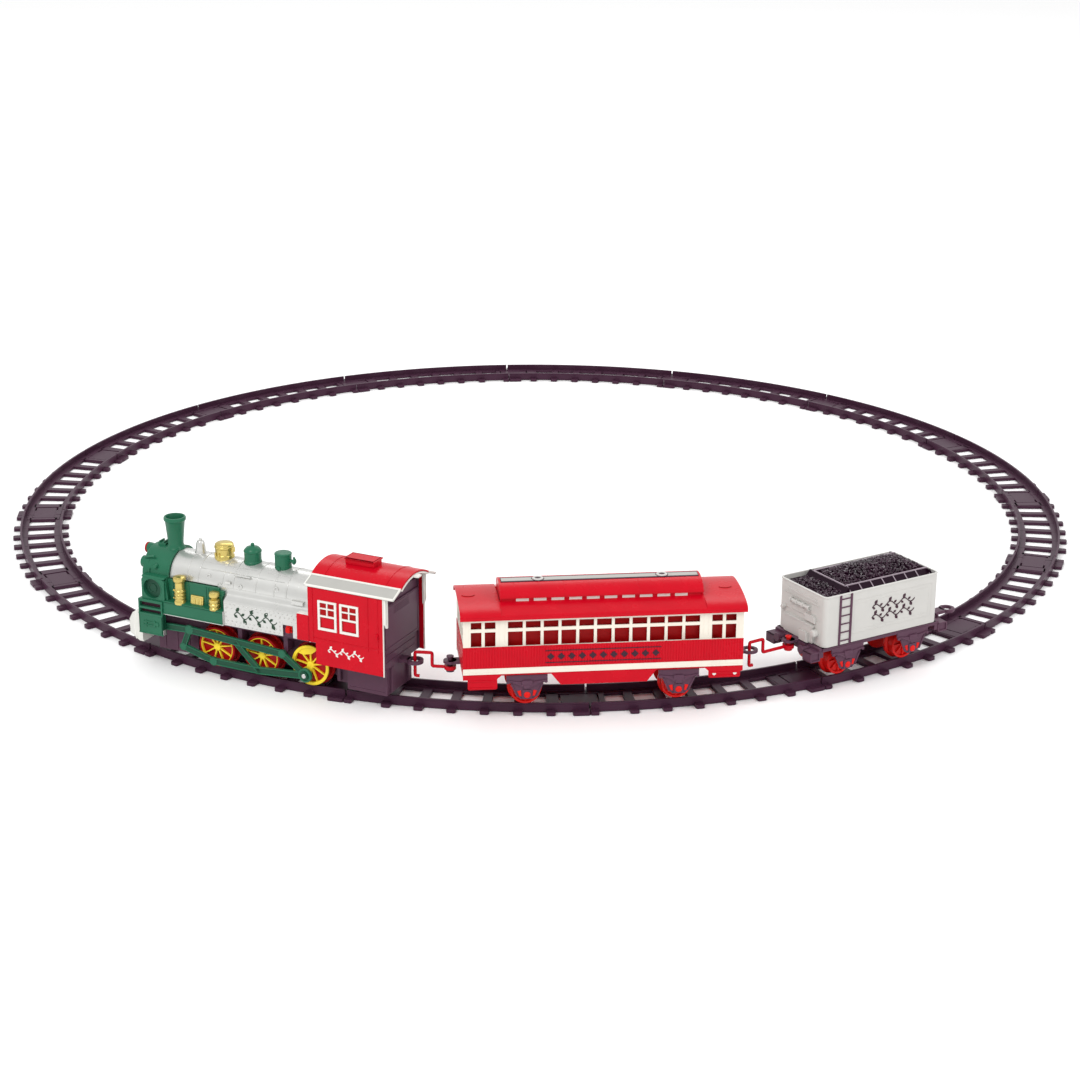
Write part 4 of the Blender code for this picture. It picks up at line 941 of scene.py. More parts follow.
def build_cab_roof():
    x0, x1 = 50.3, 132.5
    span = math.degrees(math.acos(23.6 / ROOF_ARC_RADIUS))
    roof = Piece("red")
    arch = arched_band(ROOF_ARC_RADIUS, ROOF_ARC_RADIUS - WALL, ROOF_ARC_Z, span, 32)
    roof.prism(arch, "x", x0, x1)
    rib = arched_band(ROOF_ARC_RADIUS + 0.35, ROOF_ARC_RADIUS - 0.6, ROOF_ARC_Z, span + 1, 32)
    for x in (62, 118):
        roof.prism(rib, "x", x, x + 0.7)
    roof.finish("cab_roof_arched", "locomotive", LOCO, ("cab_roof",), bevel=0.2)
    trim = Piece("strip")
    trim.prism([(-35.6, 103), (-23.9, 107.9), (-23.2, 106.2), (-35.2, 101.4)], "x", x0 + 0.6, x1 - 0.4)
    trim.paint("white")
    trim.prism([(-36, 102), (-36, 103.2), (-34.8, 103.7), (-34.4, 102)], "x", x0, x1)
    trim.prism([(-24.6, 107.6), (-24.2, 108.5), (-22.6, 108.6), (-22.6, 107)], "x", x0, x1)
    for x in (x0, x1 - 1.2):
        trim.prism([(-36, 102), (-36, 103.3), (-24, 108.5), (-23.2, 107)], "x", x, x + 1.2)
    post = [(-30, 104), (-34, 102.6), (-34, 80), (-32, 76.2), (-30, 76.2)]
    trim.prism(post, "x", 122.5, 124.2)
    trim.box(121.9, 124.2, -34.2, -33.2, 79.6, 102)
    for y in (-33.2, -32.2, -31.2):
        trim.box(124.1, 124.5, y - 0.25, y + 0.25, 78.6, 101)
    trim.both_sides()
    frame_radius = ROOF_ARC_RADIUS - 1.7
    reach = math.degrees(math.acos(22.6 / frame_radius))
    under = arched_band(frame_radius, frame_radius - WALL, ROOF_ARC_Z, reach, 32)
    trim.prism(under, "x", x0 + 0.6, x1 + 0.4)
    trim.box(132.4, 137, -3, 3, 111.4, 112.8)
    trim.finish("cab_roof_trim", "locomotive", LOCO, ("cab_roof_frame",), bevel=0.15)
    hatch = Piece("red")
    hatch.prism([(-6.4, 114.6), (-6.4, 118.4), (-7.4, 118.8), (-7.4, 119.9), (7.4, 119.9),
                 (7.4, 118.8), (6.4, 118.4), (6.4, 114.6)], "x", 72.2, 98.8)
    hatch.prism([(-7.4, 118.8), (-7.4, 119.9), (7.4, 119.9), (7.4, 118.8)], "x", 71.4, 99.6)
    hatch.prism([(-6, 119.6), (-6, 120.2), (6, 120.2), (6, 119.6)], "x", 73, 98)
    hatch.finish("roof_hatch_lidded", "locomotive", LOCO, ("roof_hatch",), bevel=0.25)


def build_battery_case():
    piece = Piece("dark")
    piece.prism(rounded(-30.8, 30.8, 36, 99, 1.4), "x", 84, 97.2)
    piece.pair(97, 118.5, 27.2, 30.8, 36, 99)
    piece.box(97, 118.5, -30.8, 30.8, 90.2, 99)
    piece.box(97, 118.5, -30.8, 30.8, 36, 54.6)
    piece.prism(rounded(80, 117, 12, 37, 1.2), "y", -20.5, 20.5)
    piece.pair(82, 115, 20.2, 20.9, 14, 15.2)
    piece.pair(117.8, 119.2, 29.4, 30.8, 37, 98)
    piece.pair(117, 118.9, 12, 16, 14, 36)
    for y0, y1 in ((-4.9, -3.4), (3.4, 4.9)):
        piece.prism([(117, 36), (121, 36), (126, 39), (117, 39.8)], "y", y0, y1)
    for z in (42, 48):
        piece.box(118.3, 119, -24, 24, z, z + 1)
    piece.box(116.6, 127.6, -4.5, 4.5, 36.9, 39.9)
    piece.collar(4.3, 7, 36.9, 39.9, "z", (LOCO_EYE_X, 0, 0), 36)
    piece.box(72.4, 80.4, -11, 11, 12.6, 35.6)
    piece.finish("battery_case_moulded", "locomotive", LOCO, ("battery_case",), bevel=0.3)
    cover = Piece("dark")
    cover.prism(rounded(-28.4, 28.4, 53.6, 91.4, 1.6), "x", 118.85, 120)
    for i in range(5):
        cover.box(119.6, 120.35, -12, 12, 82 + 1.6 * i, 82.8 + 1.6 * i)
    for y in (-27.2, 26):
        cover.box(119.6, 120.35, y, y + 1.2, 54.6, 90.4)
    cover.box(119.6, 120.35, -27.2, 27.2, 54.6, 55.8)
    cover.box(119.6, 120.35, -27.2, 27.2, 89.2, 90.4)
    cover.finish("battery_cover_ribbed", "battery_cover", LOCO, ("battery_cover",), bevel=0.2)


def build_chassis():
    piece = Piece("dark")
    piece.box(-104, 66, -9.3, 9.3, 29, 46.8)
    piece.box(-104, 78, -9.3, 9.3, 17, 22)
    for x0, x1 in ((-104, -48), (-42, -4.6), (1.6, 33.6), (56.4, 78)):
        piece.box(x0, x1, -9.3, 9.3, 21.8, 29.2)
    piece.box(-86, 52, -20.2, 20.2, 46.2, 48)
    piece.prism(rounded(-106, -66.5, 13, 34, 1), "y", -15, 15)
    piece.prism(rounded(66.5, 77.5, 14, 36, 1), "y", -14, 14)
    for x in (-100, -88, -76):
        piece.pair(x, x + 1.2, 14.8, 15.6, 15, 32)
    piece.pair(-105, -67.5, 14.8, 15.6, 30.6, 31.8)
    for x in (-22, 22):
        piece.pair(x - 2, x + 2, 9, 20, 34, 46.8)
    for side in (-1, 1):
        piece.collar(0, 3, 13.5 * side, 15.5 * side, "y", (72, 0, 28), 20)
        piece.tube([(70, side * 15.6, 16), (70, side * 15.6, 34)], 1.6, 10)
    piece.box(23, 35.5, -17.6, -16, 47.4, 61.6)
    piece.box(23, 35.5, -25.5, -16.4, 60.8, 62.2)
    piece.box(23, 35.5, -25.4, -24.3, 50, 61.4)
    piece.finish("chassis_frames", "locomotive", LOCO, ("loco_chassis",), bevel=0.25)
    switch = Piece("truck_red")
    switch.box(27.4, 32.8, -27, -25.9, 54.4, 60.2)
    switch.prism(rounded(28.2, 32.2, 54.9, 59.7, 0.8), "y", -29.6, -26.6)
    for x in (29, 30.2, 31.4):
        switch.box(x - 0.25, x + 0.25, -29.9, -29.2, 55.4, 59.2)
    switch.finish("switch_knob_ridged", "switch_button", LOCO, ("switch_button",), bevel=0.2)


def build_locomotive():
    build_boiler()
    build_smokebox()
    build_mountings()
    build_cowcatcher()
    build_cab()
    build_cab_roof()
    build_battery_case()
    build_chassis()
    names = ("front_drive_wheelset", "middle_drive_wheelset", "rear_drive_wheelset")
    for name, x in zip(names, LOCO_AXLES_X):
        drive_wheelset(name, x, name.startswith("rear"))
    side_rod("left_side_rod", -1)
    side_rod("right_side_rod", 1)


# Trucks and couplings


def coupling_pin(piece, x, neck_z, head_radius):
    """Pin that a drawbar turns on: a foot, a neck and a round head."""
    profile = [(0, 31), (3.4, 31), (3.4, 32.6), (1.8, 32.6), (1.8, neck_z),
               (head_radius, neck_z + 0.4), (head_radius, neck_z + 1.4), (0, neck_z + 1.4)]
    piece.turned(profile, "z", (x, 0, 0), 24)


def truck(name, wheelset, place, x):
    """Truck frame with leaf spring, axle box and red inlays, and its wheelset."""
    piece = Piece("dark")
    plate = [(x - 16.5, 38), (x - 16.5, 33), (x - 12.5, 30.4), (x - 7.6, 19.4), (x - 5.2, 17.6),
             (x + 5.2, 17.6), (x + 7.6, 19.4), (x + 12.5, 30.4), (x + 16.5, 33), (x + 16.5, 38)]
    piece.prism(plate, "y", -31, -29.6)
    leaves = ((14.6, 31.2), (11.4, 29.9), (8.6, 28.6), (5.8, 27.3))
    for half, z in leaves:
        outline = []
        for i in range(9):
            share = -1 + 2 * i / 8
            outline.append((x + half * share, z + 1.5 * share * share + 1.1))
        for i in range(8, -1, -1):
            share = -1 + 2 * i / 8
            outline.append((x + half * share, z + 1.5 * share * share))
        piece.prism(outline, "y", -32.1, -30.6)
    piece.prism(rounded(x - 4.2, x + 4.2, 29.4, 33.6, 0.8), "y", -32.5, -30.6)
    piece.prism(rounded(x - 2.6, x + 2.6, 26.6, 30, 0.6), "y", -32.3, -30.6)
    for side in (-1, 1):
        piece.collar(0, 1.4, -30.6, -32.3, "y", (x + side * 15.2, 0, 32.4), 14)
        piece.tube([(x + side * 7.6, -31.2, 19.6), (x + side * 12.6, -31.2, 30.6)], 0.8, 8)
    piece.box(x - 5.4, x + 5.4, -31.5, -30.6, 17.4, 18.4)
    piece.prism(rounded(x - 4, x + 4, 17.6, 25.4, 1.2), "y", -31.9, -30.6)
    piece.paint("truck_red")
    for side in (-1, 1):
        inlay = [(x + side * 4.4, 19.8), (x + side * 6.2, 20), (x + side * 8, 24.4),
                 (x + side * 5, 25)]
        piece.prism(inlay, "y", -31.35, -30.8)
    piece.turned([(0, -31.2), (2.7, -31.2), (2.7, -32.2), (1.7, -32.9), (0, -32.9)],
                 "y", (x, 0, CAR_AXLE_Z), 24)
    piece.paint("dark")
    piece.both_sides()
    piece.box(x - 15.5, x + 15.5, -30.2, 30.2, 35.8, 37.6)
    piece.collar(0, 2.5, 36.6, 43, "z", (x, 0, 0), 24)
    piece.finish(f"{name}_sprung", name, place, (name,), bevel=0.2)
    wheels = Piece("truck_red")
    wheels.turned([(1.6, 9), (3, 9), (3, 10), (13.6, 10), (14.3, 10.7), (14.3, 12.4),
                   (13, 13.2), (12.3, 13.6), (12.3, 20.2), (11.9, 20.5), (10.4, 20.5),
                   (10, 18.6), (3.4, 18.6), (3, 20.8), (1.6, 20.8)], "y", (x, 0, CAR_AXLE_Z), 56)
    for i in range(8):
        spoke(wheels, (x, CAR_AXLE_Z), math.pi * i / 4, 2.6, 10.4, 1.6, 1.2, 18.2, 19.8)
    wheels.both_sides()
    wheels.paint("steel")
    wheels.collar(0, 1.5, -31.5, 31.5, "y", (x, 0, CAR_AXLE_Z), 20)
    body = wheelset.replace("wheelset", "wheels")
    wheels.finish(f"{wheelset}_spoked", body, place, (wheelset,), bevel=0.15)


# Coach


COACH_BODY_SIDE = [
    (-112.8, 63.8), (112.8, 63.8), (112.8, 36), (110.8, 35.4), (110.8, 31.2), (109.8, 30.4),
    (86, 30.4), (85, 31.4), (85, 36.4), (80.6, 40.3), (43.5, 40.3), (35, 29.5),
    (-34.5, 29.5), (-43, 40.3), (-80.6, 40.3), (-85.4, 36.4), (-85.4, 28.4), (-86.4, 27.4),
    (-108, 27.4), (-109, 28.4), (-109, 36), (-112.8, 36),
]


def coach_holes():
    """Openings of the window band along the coach: end pairs and the long row."""
    holes = [(-106.4, -97.9), (-95.3, -86.8)]
    row_start = -WINDOW_COUNT * WINDOW_PITCH / 2 + 1.2
    for index in range(WINDOW_COUNT):
        start = row_start + index * WINDOW_PITCH
        holes.append((start, start + 11.8))
    return holes + [(86.8, 95.3), (97.9, 106.4)]


def build_coach_body():
    piece = Piece("red")
    piece.prism(COACH_BODY_SIDE, "y", -33.2, -31.9)
    beads = 100
    pitch = 224 / beads
    for i in range(beads):
        x = -112 + pitch * (i + 0.5)
        bead = [(x - pitch * 0.42, -33), (x - pitch * 0.28, -33.5), (x + pitch * 0.28, -33.5),
                (x + pitch * 0.42, -33)]
        piece.prism(bead, "z", 45.9, 63.4)
    piece.box(-112.8, 112.8, -33.6, -32.6, 63, 63.9)
    for x0, x1, low in ((-109, -85.4, 27.4), (85, 110.8, 30.4)):
        for z in (low + 1.2, 34.6):
            piece.box(x0 + 1, x1 - 1, -33.8, -32.8, z, z + 0.9)
    piece.paint("white")
    for x in (89.6, 106.4):
        piece.collar(0, 1.5, -33, -33.45, "y", (x, 0, 34), 16)
    piece.paint("cream")
    piece.box(-112.8, 112.8, -33.75, -32.6, 40.6, 45.6)
    for x in (-108, -103, -98, -93, -88, 88, 91, 94, 99, 109):
        piece.box(x - 0.4, x + 0.4, -34.05, -33.2, 40.9, 45.3)
    piece.box(-112.8, -84, -34, -33.2, 42.7, 43.3)
    piece.box(84, 112.8, -34, -33.2, 42.7, 43.3)
    piece.both_sides()
    piece.paint("red")
    for x in (-112.6, 111.3):
        piece.box(x, x + 1.3, -33, 33, 36.6, 63.7)
        for i in range(15):
            y = -31 + i * 4.43
            face_x = x - 0.35 if x < 0 else x + 1.1
            piece.box(face_x, face_x + 0.6, y - 0.8, y + 0.8, 41, 63.2)
    piece.finish("coach_lower_body", "coach", COACH, ("coach_body",), bevel=0.15)
    ornament = Piece("print")
    diamonds(ornament, -47, 46, 54.2, 6, 11, -33.8, -33.3)
    ornament.both_sides()
    ornament.finish("coach_diamond_band", "coach", COACH, bevel=0)


def build_coach_windows():
    piece = Piece("cream")
    breaks = [-112.6]
    for low, high in coach_holes():
        breaks += [low, high]
    breaks.append(112.6)
    levels = [63.9, 64.2, 76.5, 79.2, 84.9, 88.2]

    def is_open(column, row):
        return column % 2 == 1 and row in (1, 3)

    piece.plate(breaks, levels, is_open, -33.3, -32)
    for low, high in ((-112.6, -106.4), (-86.8, -76.6), (76.8, 86.8), (106.4, 112.6)):
        for share in (0.3, 0.7):
            x = low + (high - low) * share
            piece.box(x - 0.2, x + 0.2, -33.45, -33, 65.6, 85.6)
    piece.both_sides()
    for x in (-112.3, 111.2):
        piece.pair(x, x + 1.1, 24, 32.8, 64.2, 88)
        piece.pair(x, x + 1.1, 6.8, 9.2, 65.8, 84.2)
        for z0, z1 in ((84, 88), (64.2, 66), (77, 79)):
            piece.box(x, x + 1.1, -24.2, 24.2, z0, z1)
    piece.finish("coach_window_frames", "coach", COACH, ("coach_window_band",), bevel=0.15)


def build_coach_base():
    piece = Piece("red")
    piece.box(-110.6, 110.6, -31.5, 31.5, 38.4, 40.4)
    # Painted shade: the inside walls, window posts, seats and the cross members under the floor are in
    # darker red.
    piece.paint("red_painted_shade")
    piece.pair(-110, 110, 25.4, 26.6, 40, 87.4)
    for i in range(WINDOW_COUNT + 1):
        x = -77.7 + WINDOW_PITCH * i
        piece.pair(x - 0.9, x + 0.9, 26.2, 27.2, 41, 87)
    piece.pair(-110, 110, 26.2, 27.4, 76.4, 77.6)
    piece.box(-80.2, -79, -26.5, 26.5, 40, 87.4)
    piece.box(79, 80.2, -26.5, 26.5, 40, 87.4)
    for i in range(6):
        x = -65 + 26 * i
        seat = [(x - 4, 41), (x + 5, 41), (x + 5, 50), (x - 1.4, 50), (x - 2.4, 62), (x - 4, 62)]
        for y0, y1 in ((-24, -6), (6, 24)):
            piece.prism(seat, "y", y0, y1)
    for i in range(7):
        x = -90 + 30 * i
        piece.box(x - 0.6, x + 0.6, -31, 31, 37.6, 38.6)
    piece.paint("dark")
    piece.box(109.5, 120.8, -4.5, 4.5, 38.4, 40.8)
    piece.collar(4.3, 7, 38.5, 40.7, "z", (COACH_EYE_X, 0, 0), 36)
    piece.box(-122, -109.5, -5, 5, 38.6, 40.8)
    piece.collar(0, 5.6, 38.6, 40.8, "z", (-120.5, 0, 0), 32)
    coupling_pin(piece, -120.5, 43, 3)
    piece.finish("coach_floor_and_seats", "coach", COACH, ("coach_base",), bevel=0.2)


def hollow_arch(piece, half, rise, base, x0, x1, skirt):
    """Curved roof with short straight edges down its sides."""
    foot = base - skirt
    outer = [(half, foot)] + dome(half, rise, base, 28) + [(-half, foot)]
    inner = [(half - WALL, foot)] + dome(half - WALL, rise - WALL, base, 28) + [(WALL - half, foot)]
    piece.prism(outer + inner[::-1], "x", x0, x1)


def build_coach_roof():
    piece = Piece("red")
    for x0, x1 in ((-115, -82.2), (82.2, 115)):
        hollow_arch(piece, COACH_ROOF_HALF, COACH_ROOF_RISE, COACH_ROOF_Z, x0, x1, 1.4)
    wall = [(35.4, 89)] + dome(35, 5.5, 90.2, 28) + [(-35.4, 89)]
    for x in (-114, -83.4, 82.2, 112.8):
        piece.prism(wall, "x", x, x + 1.2)
    eaves = [(36, 88.7)] + arc(1, (35, 90.2), 0, 70, 4) + [(17.4, 96.2), (17.4, 94.8),
             (34, 89.8), (34, 88.7)]
    for sign in (-1, 1):
        side = [(sign * y, z) for y, z in eaves]
        piece.prism(side, "x", -82.6, 82.6)
    piece.box(-82.4, 82.4, -17.6, 17.6, 93.6, 94.8)
    piece.pair(-115, 115, 34.8, 36.2, 87.2, 89.6)
    # Painted shade: thin dark red crescents near the roof's ends.
    piece.paint("wheel_red")
    for x in (-105.8, 102.4):
        path = []
        for i in range(11):
            angle = math.radians(200 + 14 * i)
            y = 4.2 * math.sin(angle)
            rise = COACH_ROOF_RISE * math.sqrt(1 - (y / COACH_ROOF_HALF) ** 2)
            path.append((x + 5.4 * math.cos(angle), y, COACH_ROOF_Z + 0.2 + rise))
        piece.tube(path, 0.45, 6)
    piece.finish("coach_roof_curved", "coach", COACH, ("coach_roof",), bevel=0.25)
    top = Piece("red")
    hollow_arch(top, 19.4, 8.8, 99.2, -81.8, 81.8, 0.3)
    slots = [-81]
    for index in range(SLOT_COUNT):
        start = (index - SLOT_COUNT / 2) * WINDOW_PITCH + 2
        slots += [start, start + SLOT_LENGTH]
    slots.append(81)

    def is_slot(column, row):
        return row == 1 and column % 2 == 1

    for y0, y1 in ((-17.9, -16.7), (16.7, 17.9)):
        top.plate(slots, [95.1, 95.6, 98.7, 101], is_slot, y0, y1)
    cap = [(18.2, 95.1)] + dome(18.8, 8.4, 99.2, 28) + [(-18.2, 95.1)]
    for x in (-81.6, 80.4):
        top.prism(cap, "x", x, x + 1.2)
    for i in range(8):
        x = -70 + 20 * i
        rib = dome(19.5, 8.95, 99.2, 28) + list(reversed(dome(18.8, 8.2, 99.2, 28)))
        top.prism(rib, "x", x - 0.3, x + 0.3)
    top.pair(-81, 81, 9.6, 10.2, 106, 106.7)
    top.paint("print")
    top.box(-80, 80, -5.2, 5.2, 106.8, 108.1)
    top.paint("strip")
    top.box(-79.4, 79.4, -3.4, 3.4, 107.4, 108.35)
    top.paint("pale")
    for x in (-49.8, 50.6):
        top.turned([(2.4, 107.6), (4.6, 107.6), (4.6, 108.9), (4, 109.3), (2.8, 109.3), (2.4, 108.8)],
                   "z", (x, 0, 0), 28)
    top.paint("print")
    for x in (-49.8, 50.6):
        top.collar(0, 2.5, 107.6, 108.8, "z", (x, 0, 0), 24)
        top.collar(4.5, 5.4, 107.6, 108.4, "z", (x, 0, 0), 28)
    # Painted light: white panels just behind the slots, standing in for light seen through them.
    top.paint("white")
    top.pair(-74, 74, 15.8, 17.75, 95.2, 99.2)
    top.finish("coach_clerestory_slotted", "coach", COACH, ("coach_clerestory",), bevel=0.2)


def build_coach():
    build_coach_base()
    build_coach_body()
    build_coach_windows()
    build_coach_roof()
    truck("coach_front_truck", "coach_front_wheelset", COACH, -COACH_TRUCK_X)
    truck("coach_rear_truck", "coach_rear_wheelset", COACH, COACH_TRUCK_X)


# Tender


def build_tender_body():
    piece = Piece("pale")
    outer = rounded(-TENDER_HALF_LENGTH, TENDER_HALF_LENGTH, -TENDER_HALF_WIDTH, TENDER_HALF_WIDTH,
                    4.8, 8)
    inner = rounded(-58.6, 58.6, -29.6, 29.6, 3.4, 8)
    low, high = 39.9, 84.2
    for inset, proud in ((0, -31.2), (3, -31.15)):
        x0, x1, z0, z1 = -32.4 + inset, 52.5 - inset, 47 + inset, 76.4 - inset
        piece.plate([x0, x0 + 0.5, x1 - 0.5, x1], [z0, z0 + 0.5, z1 - 0.5, z1],
                    lambda i, k: i == 1 and k == 1, proud, -30.6)
    piece.both_sides()
    rings = [
        [(x, y, low) for x, y in outer], [(x, y, high - 1.4) for x, y in outer],
        [(x * 1.006, y * 1.012, high - 1.1) for x, y in outer],
        [(x * 1.006, y * 1.012, high - 0.2) for x, y in outer],
        [(x, y, high) for x, y in inner], [(x, y, low) for x, y in inner],
    ]
    piece.loft(rings, closed=True)
    piece.box(-60.6, -59, -20, 20, 76.6, 78.4)
    piece.tube([(-61.8, -12, 69.6), (-61.8, 12, 69.6)], 1.6, 12)
    for y in (-12, -4, 4, 12):
        piece.collar(1.4, 2.4, y - 0.8, y + 0.8, "y", (-61.8, 0, 69.6), 16)
        piece.box(-61.8, -59, y - 0.6, y + 0.6, 68.8, 70.4)
    piece.box(-61.8, -59, -19.6, -6, 58, 64)
    piece.box(-62.6, -59, -18, 20, 40.4, 55)
    piece.box(-63.2, -59, -18.6, 20.6, 54.6, 56.2)
    piece.box(-65, -59, -14.5, -3.5, 40.4, 49)
    piece.tube([(-65, -12.8, 49), (-65, -12.8, 41)], 1)
    piece.turned([(0, -65), (2.2, -65), (3.2, -64), (3.2, -60), (0, -60)],
                 "x", (0, -20.4, 50.4), 24)
    piece.turned([(0, -63.4), (1.6, -63.4), (2.2, -62.6), (2.2, -60), (0, -60)],
                 "x", (0, 23, 60), 20)
    for z in (60.8, 73.6):
        piece.box(-60.7, -59.6, -24, 24, z, z + 0.5)
    piece.paint("dark")
    for x in (-44.6, -33.4):
        piece.pair(x - 0.9, x + 0.9, 30.6, 32, 40.1, 83.6)
    for i in range(6):
        z = 43.4 + 7.3 * i
        piece.pair(-44.6, -33.4, 30.6, 31.9, z - 0.45, z + 0.45)
    piece.finish("tender_tank", "tender", TENDER, ("tender_body",), bevel=0.25)
    ornament = Piece("print")
    for z, height in ((66.4, 8), (57.4, 8)):
        vine(ornament, -11, 34, z, height, -31.35, -30.8, waves=3)
    ornament.both_sides()
    ornament.finish("tender_vines", "tender", TENDER, bevel=0)


def coal_lumps(piece, count, x_range, y_range, height, size, rng):
    """Scatter crumpled lumps of coal over a heap whose height is a function of x and y."""
    for _ in range(count):
        x = rng.uniform(*x_range)
        y = rng.uniform(*y_range)
        scale = size * rng.uniform(0.65, 1.25)
        centre = Vector((x, y, height(x, y) + scale * 0.15))
        lump = bmesh.ops.create_icosphere(piece.bm, subdivisions=1, radius=scale)
        spin = Matrix.Rotation(rng.uniform(0, 6.28), 4, Vector((rng.random(), rng.random(), 1)))
        for vert in lump["verts"]:
            vert.co = centre + spin @ Vector((
                vert.co.x * rng.uniform(0.75, 1.3), vert.co.y * rng.uniform(0.75, 1.2),
                vert.co.z * rng.uniform(0.6, 1),
            ))
        for face in {f for v in lump["verts"] for f in v.link_faces}:
            face.material_index = piece.slot
            face.smooth = False


def build_coal():
    rng = random.Random(7)
    piece = Piece("bunker")
    piece.prism(rounded(-58, 58, -29, 29, 2.9, 6), "z", 78, 80.2)
    for side in (-1, 1):
        slope = [(side * 28.4, 80), (side * 28.4, 80.6), (side * 21.2, 86.4), (side * 19.8, 86.4),
                 (side * 19.8, 80)]
        piece.prism(slope, "x", -33, 54)
    piece.prism([(-38, 80), (-33, 86.2), (-31.6, 86.2), (-31.6, 80)], "y", -26, 26)
    piece.prism([(57, 80), (54, 86.2), (52.4, 86.2), (52.4, 80)], "y", -26, 26)
    # Painted highlight: lighter ribs and rims on the dark bunker.
    piece.paint("rim")
    for side in (-1, 1):
        for i in range(8):
            x = -31 + 12 * i
            rib = [(side * 28.8, 80.4), (side * 21.6, 86.4), (side * 21, 87), (side * 28.6, 81.4)]
            piece.prism(rib, "x", x - 0.45, x + 0.45)
    piece.pair(-33.2, 54.2, 20.4, 21.7, 86.2, 87)
    piece.box(-33.4, -32.2, -21.4, 21.4, 86.2, 87)
    piece.paint("coal")

    def heap(x, y):
        across = 1 - (y / 21) ** 2
        along = min(1, (x + 34) / 26, (56 - x) / 18)
        return 85.6 + 5.6 * max(0, across) * max(0, along)

    def low_heap(x, y):
        return 80.2 + 2.4 * max(0, 1 - (y / 27) ** 2)

    rows = 24
    columns = 12
    for surface, x0, x1, half in ((heap, -31.6, 52.6, 19.8), (low_heap, -56, -34, 26)):
        grid = []
        for i in range(rows + 1):
            x = x0 + (x1 - x0) * i / rows
            across = [half * (-1 + 2 * j / columns) for j in range(columns + 1)]
            ring = [(x, y, surface(x, y) - 0.8) for y in across]
            ring += [(x, half, 79.4), (x, -half, 79.4)]
            grid.append(ring)
        piece.loft(grid)
    coal_lumps(piece, 950, (-30.6, 51.8), (-18.8, 18.8), heap, 1.3, rng)
    coal_lumps(piece, 320, (-55, -35.4), (-25, 25), low_heap, 1.15, rng)
    piece.finish("coal_load", "tender", TENDER, ("coal_bunker",), bevel=0, sharp=30)


def build_underframe():
    piece = Piece("dark")
    piece.box(-60.5, 60.5, -30.3, 30.3, 38.3, 39.6)
    piece.pair(-60.5, 60.5, 28.6, 30.8, 36.6, 39.6)
    piece.pair(-60.5, 60.5, 29, 31.4, 38.8, 39.6)
    for end in (-1, 1):
        piece.box(*sorted((59 * end, 63.6 * end)), -29.8, 29.8, 31.5, 39.6)
        piece.box(*sorted((63 * end, 66 * end)), -14, 14, 35, 39.4)
        x0, x1 = sorted((62.6 * end, 72.6 * end))
        for z0, z1 in ((29.2, 30.4), (36.2, 37.4)):
            piece.pair(x0, x1, 19.4, 30.4, z0, z1)
        for x in (x0, x1 - 1.2):
            piece.pair(x, x + 1.2, 19.4, 30.4, 29.2, 37.4)
        piece.pair(x0 + 1, x1 - 1, 20.4, 29.4, 30, 36.6)
        for side in (-1, 1):
            piece.turned([(0, 62 * end), (2, 62 * end), (2, 71 * end), (3.6, 71.4 * end),
                          (3.6, 72.8 * end), (0, 72.8 * end)], "x", (0, 16 * side, 36.6), 20)
    piece.box(-74, -60, -5, 5, 38.4, 40.5)
    piece.collar(0, 5.6, 38.6, 40.5, "z", (-72.5, 0, 0), 32)
    piece.box(61, 94.2, -4.5, 4.5, 31.8, 34.6)
    piece.collar(4.3, 7, 31.8, 34.6, "z", (TENDER_EYE_X, 0, 0), 36)
    piece.paint("truck_red")
    coupling_pin(piece, -72.5, 42, 2.8)
    piece.finish("tender_frame", "tender", TENDER, ("tender_underframe",), bevel=0.2)


def build_tender():
    build_underframe()
    build_tender_body()
    build_coal()
    truck("tender_front_truck", "tender_front_wheelset", TENDER, -TENDER_TRUCK_X)
    truck("tender_rear_truck", "tender_rear_wheelset", TENDER, TENDER_TRUCK_X)


# Drawbars


def drawbar(name, pivot_joint, eye_place, eye_x):
    """Round cranked bar from its pivot ring to the foot of its post."""
    pivot = joint_place(pivot_joint)
    eye = eye_place @ Vector((eye_x, 0, 0))
    run = eye - pivot
    length = math.hypot(run.x, run.y) / MM
    place = Matrix.Translation((pivot.x, pivot.y, 0))
    place = place @ Matrix.Rotation(math.atan2(run.y, run.x), 4, "Z") @ Matrix.Scale(MM, 4)
    piece = Piece("red")
    corners = [
        Vector((4.2, 0, 34.6)), Vector((length - 14, 0, 34.6)), Vector((length - 14, 0, 46.2)),
        Vector((length, 0, 46.2)), Vector((length, 0, 25.6)), Vector((length - 3.6, 0, 25.6)),
    ]
    path = [corners[0]]
    for before, corner, after in zip(corners, corners[1:], corners[2:]):
        into = corner + (before - corner).normalized() * 1.6
        out = corner + (after - corner).normalized() * 1.6
        for i in range(5):
            share = i / 4
            path.append(into.lerp(corner, share).lerp(corner.lerp(out, share), share))
    path.append(corners[-1])
    piece.tube(path, 1.35, 14)
    piece.collar(2.3, 4.9, 33.1, 36.1, "z", (0, 0, 0), 32)
    piece.finish(f"{name}_bent", name, place, (name,), bevel=0.15)


# Pieces of the frame that stay, stage, light and camera


def dress_frame():
    """Give the plain inner pieces that stay their materials."""
    finishes = {
        "motor": "steel", "motor_pinion": "nylon", "idler_gear": "nylon", "drive_gear": "nylon",
        "battery_1": "label", "battery_2": "label",
    }
    for name, finish in finishes.items():
        obj = frame["nodes"][name]
        for slot in obj.material_slots:
            slot.material = FINISHES[finish]


def stage_material():
    made = bpy.data.materials.new("studio_floor")
    made.use_nodes = True
    shader = made.node_tree.nodes["Principled BSDF"]
    shader.inputs["Base Color"].default_value = (0.96, 0.96, 0.96, 1)
    shader.inputs["Roughness"].default_value = 0.85
    return made


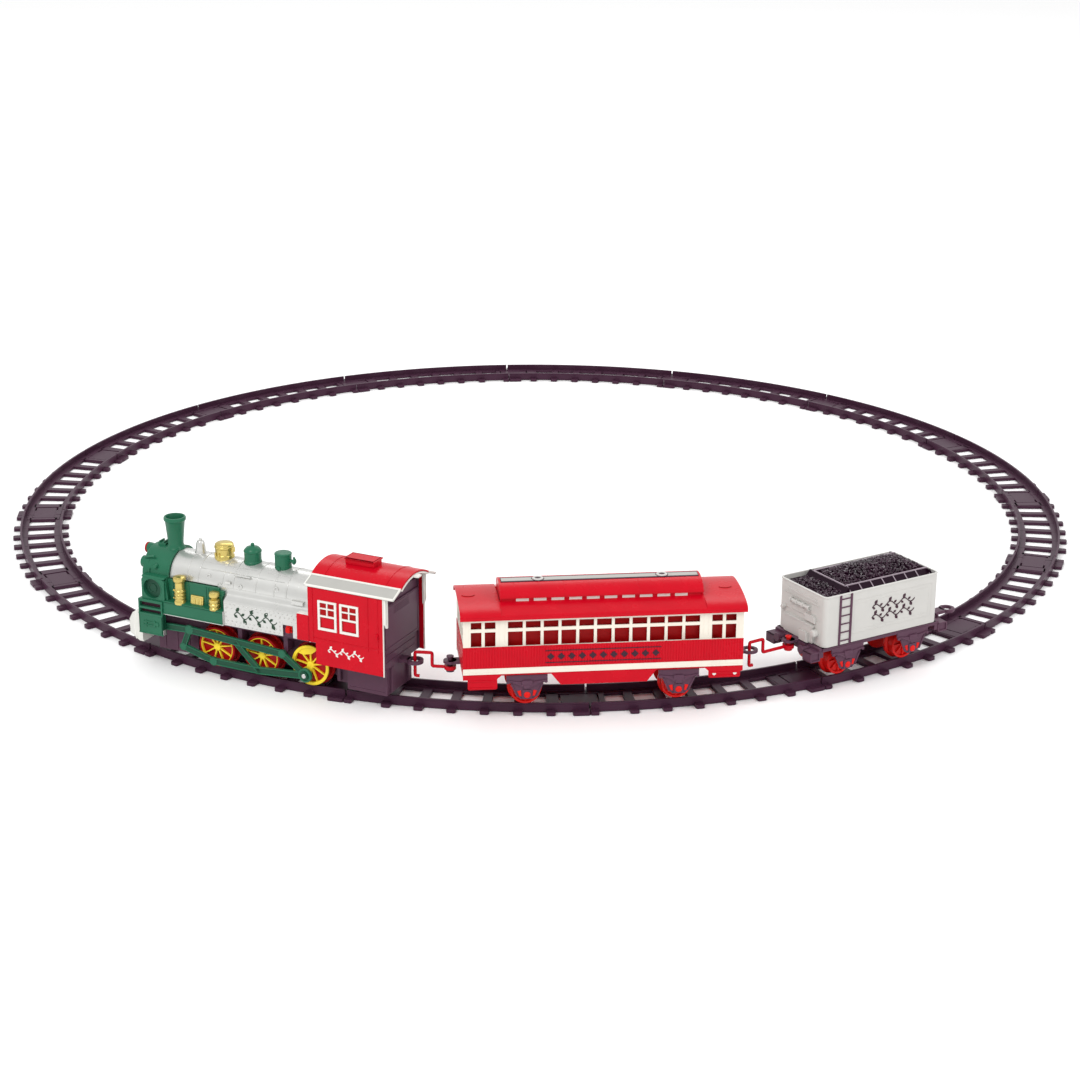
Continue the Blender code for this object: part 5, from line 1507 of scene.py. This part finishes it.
def build_stage():
    bm = bmesh.new()
    reach = 40
    corners = [(-reach, -reach), (reach, -reach), (reach, reach), (-reach, reach)]
    bm.faces.new([bm.verts.new((x, y, -0.0002)) for x, y in corners])
    mesh = bpy.data.meshes.new("floor")
    bm.to_mesh(mesh)
    bm.free()
    mesh.materials.append(stage_material())
    floor = bpy.data.objects.new("floor", mesh)
    bpy.context.scene.collection.objects.link(floor)


def area_light(name, place, target, size, power):
    data = bpy.data.lights.new(name, "AREA")
    data.shape = "RECTANGLE"
    data.size = size[0]
    data.size_y = size[1]
    data.energy = power
    lamp = bpy.data.objects.new(name, data)
    lamp.location = place
    lamp.rotation_euler = (Vector(target) - Vector(place)).to_track_quat("-Z", "Y").to_euler()
    bpy.context.scene.collection.objects.link(lamp)


def build_lights():
    area_light("key", (-1.5, -2.4, 3), (0, -0.3, 0), (1.6, 1.2), 55)
    area_light("fill", (2.4, -1.8, 1.8), (0, -0.2, 0.05), (2, 2), 20)
    area_light("back", (0.3, 2.4, 2.6), (0, -0.2, 0), (3, 1), 26)
    world = bpy.data.worlds.new("studio")
    world.use_nodes = True
    background = world.node_tree.nodes["Background"]
    background.inputs["Color"].default_value = (1, 1, 1, 1)
    background.inputs["Strength"].default_value = 0.95
    bpy.context.scene.world = world
    bpy.context.scene.view_settings.view_transform = "Standard"


def build_camera():
    data = bpy.data.cameras.new("camera")
    data.lens = CAMERA_LENS
    data.sensor_width = 36
    camera = bpy.data.objects.new("camera", data)
    place = RING_CENTRE + Vector((0, -CAMERA_BACK, CAMERA_HEIGHT))
    tilt = Matrix.Rotation(math.radians(90 - CAMERA_PITCH), 4, "X")
    roll = Matrix.Rotation(math.radians(CAMERA_ROLL), 4, "Z")
    camera.matrix_world = Matrix.Translation(place) @ tilt @ roll
    bpy.context.scene.collection.objects.link(camera)
    bpy.context.scene.camera = camera


build_camera()
build_track()
build_locomotive()
build_coach()
build_tender()
drawbar("front_drawbar", "front_drawbar_swing", LOCO, LOCO_EYE_X)
drawbar("rear_drawbar", "rear_drawbar_swing", COACH, COACH_EYE_X)
dress_frame()
build_stage()
build_lights()
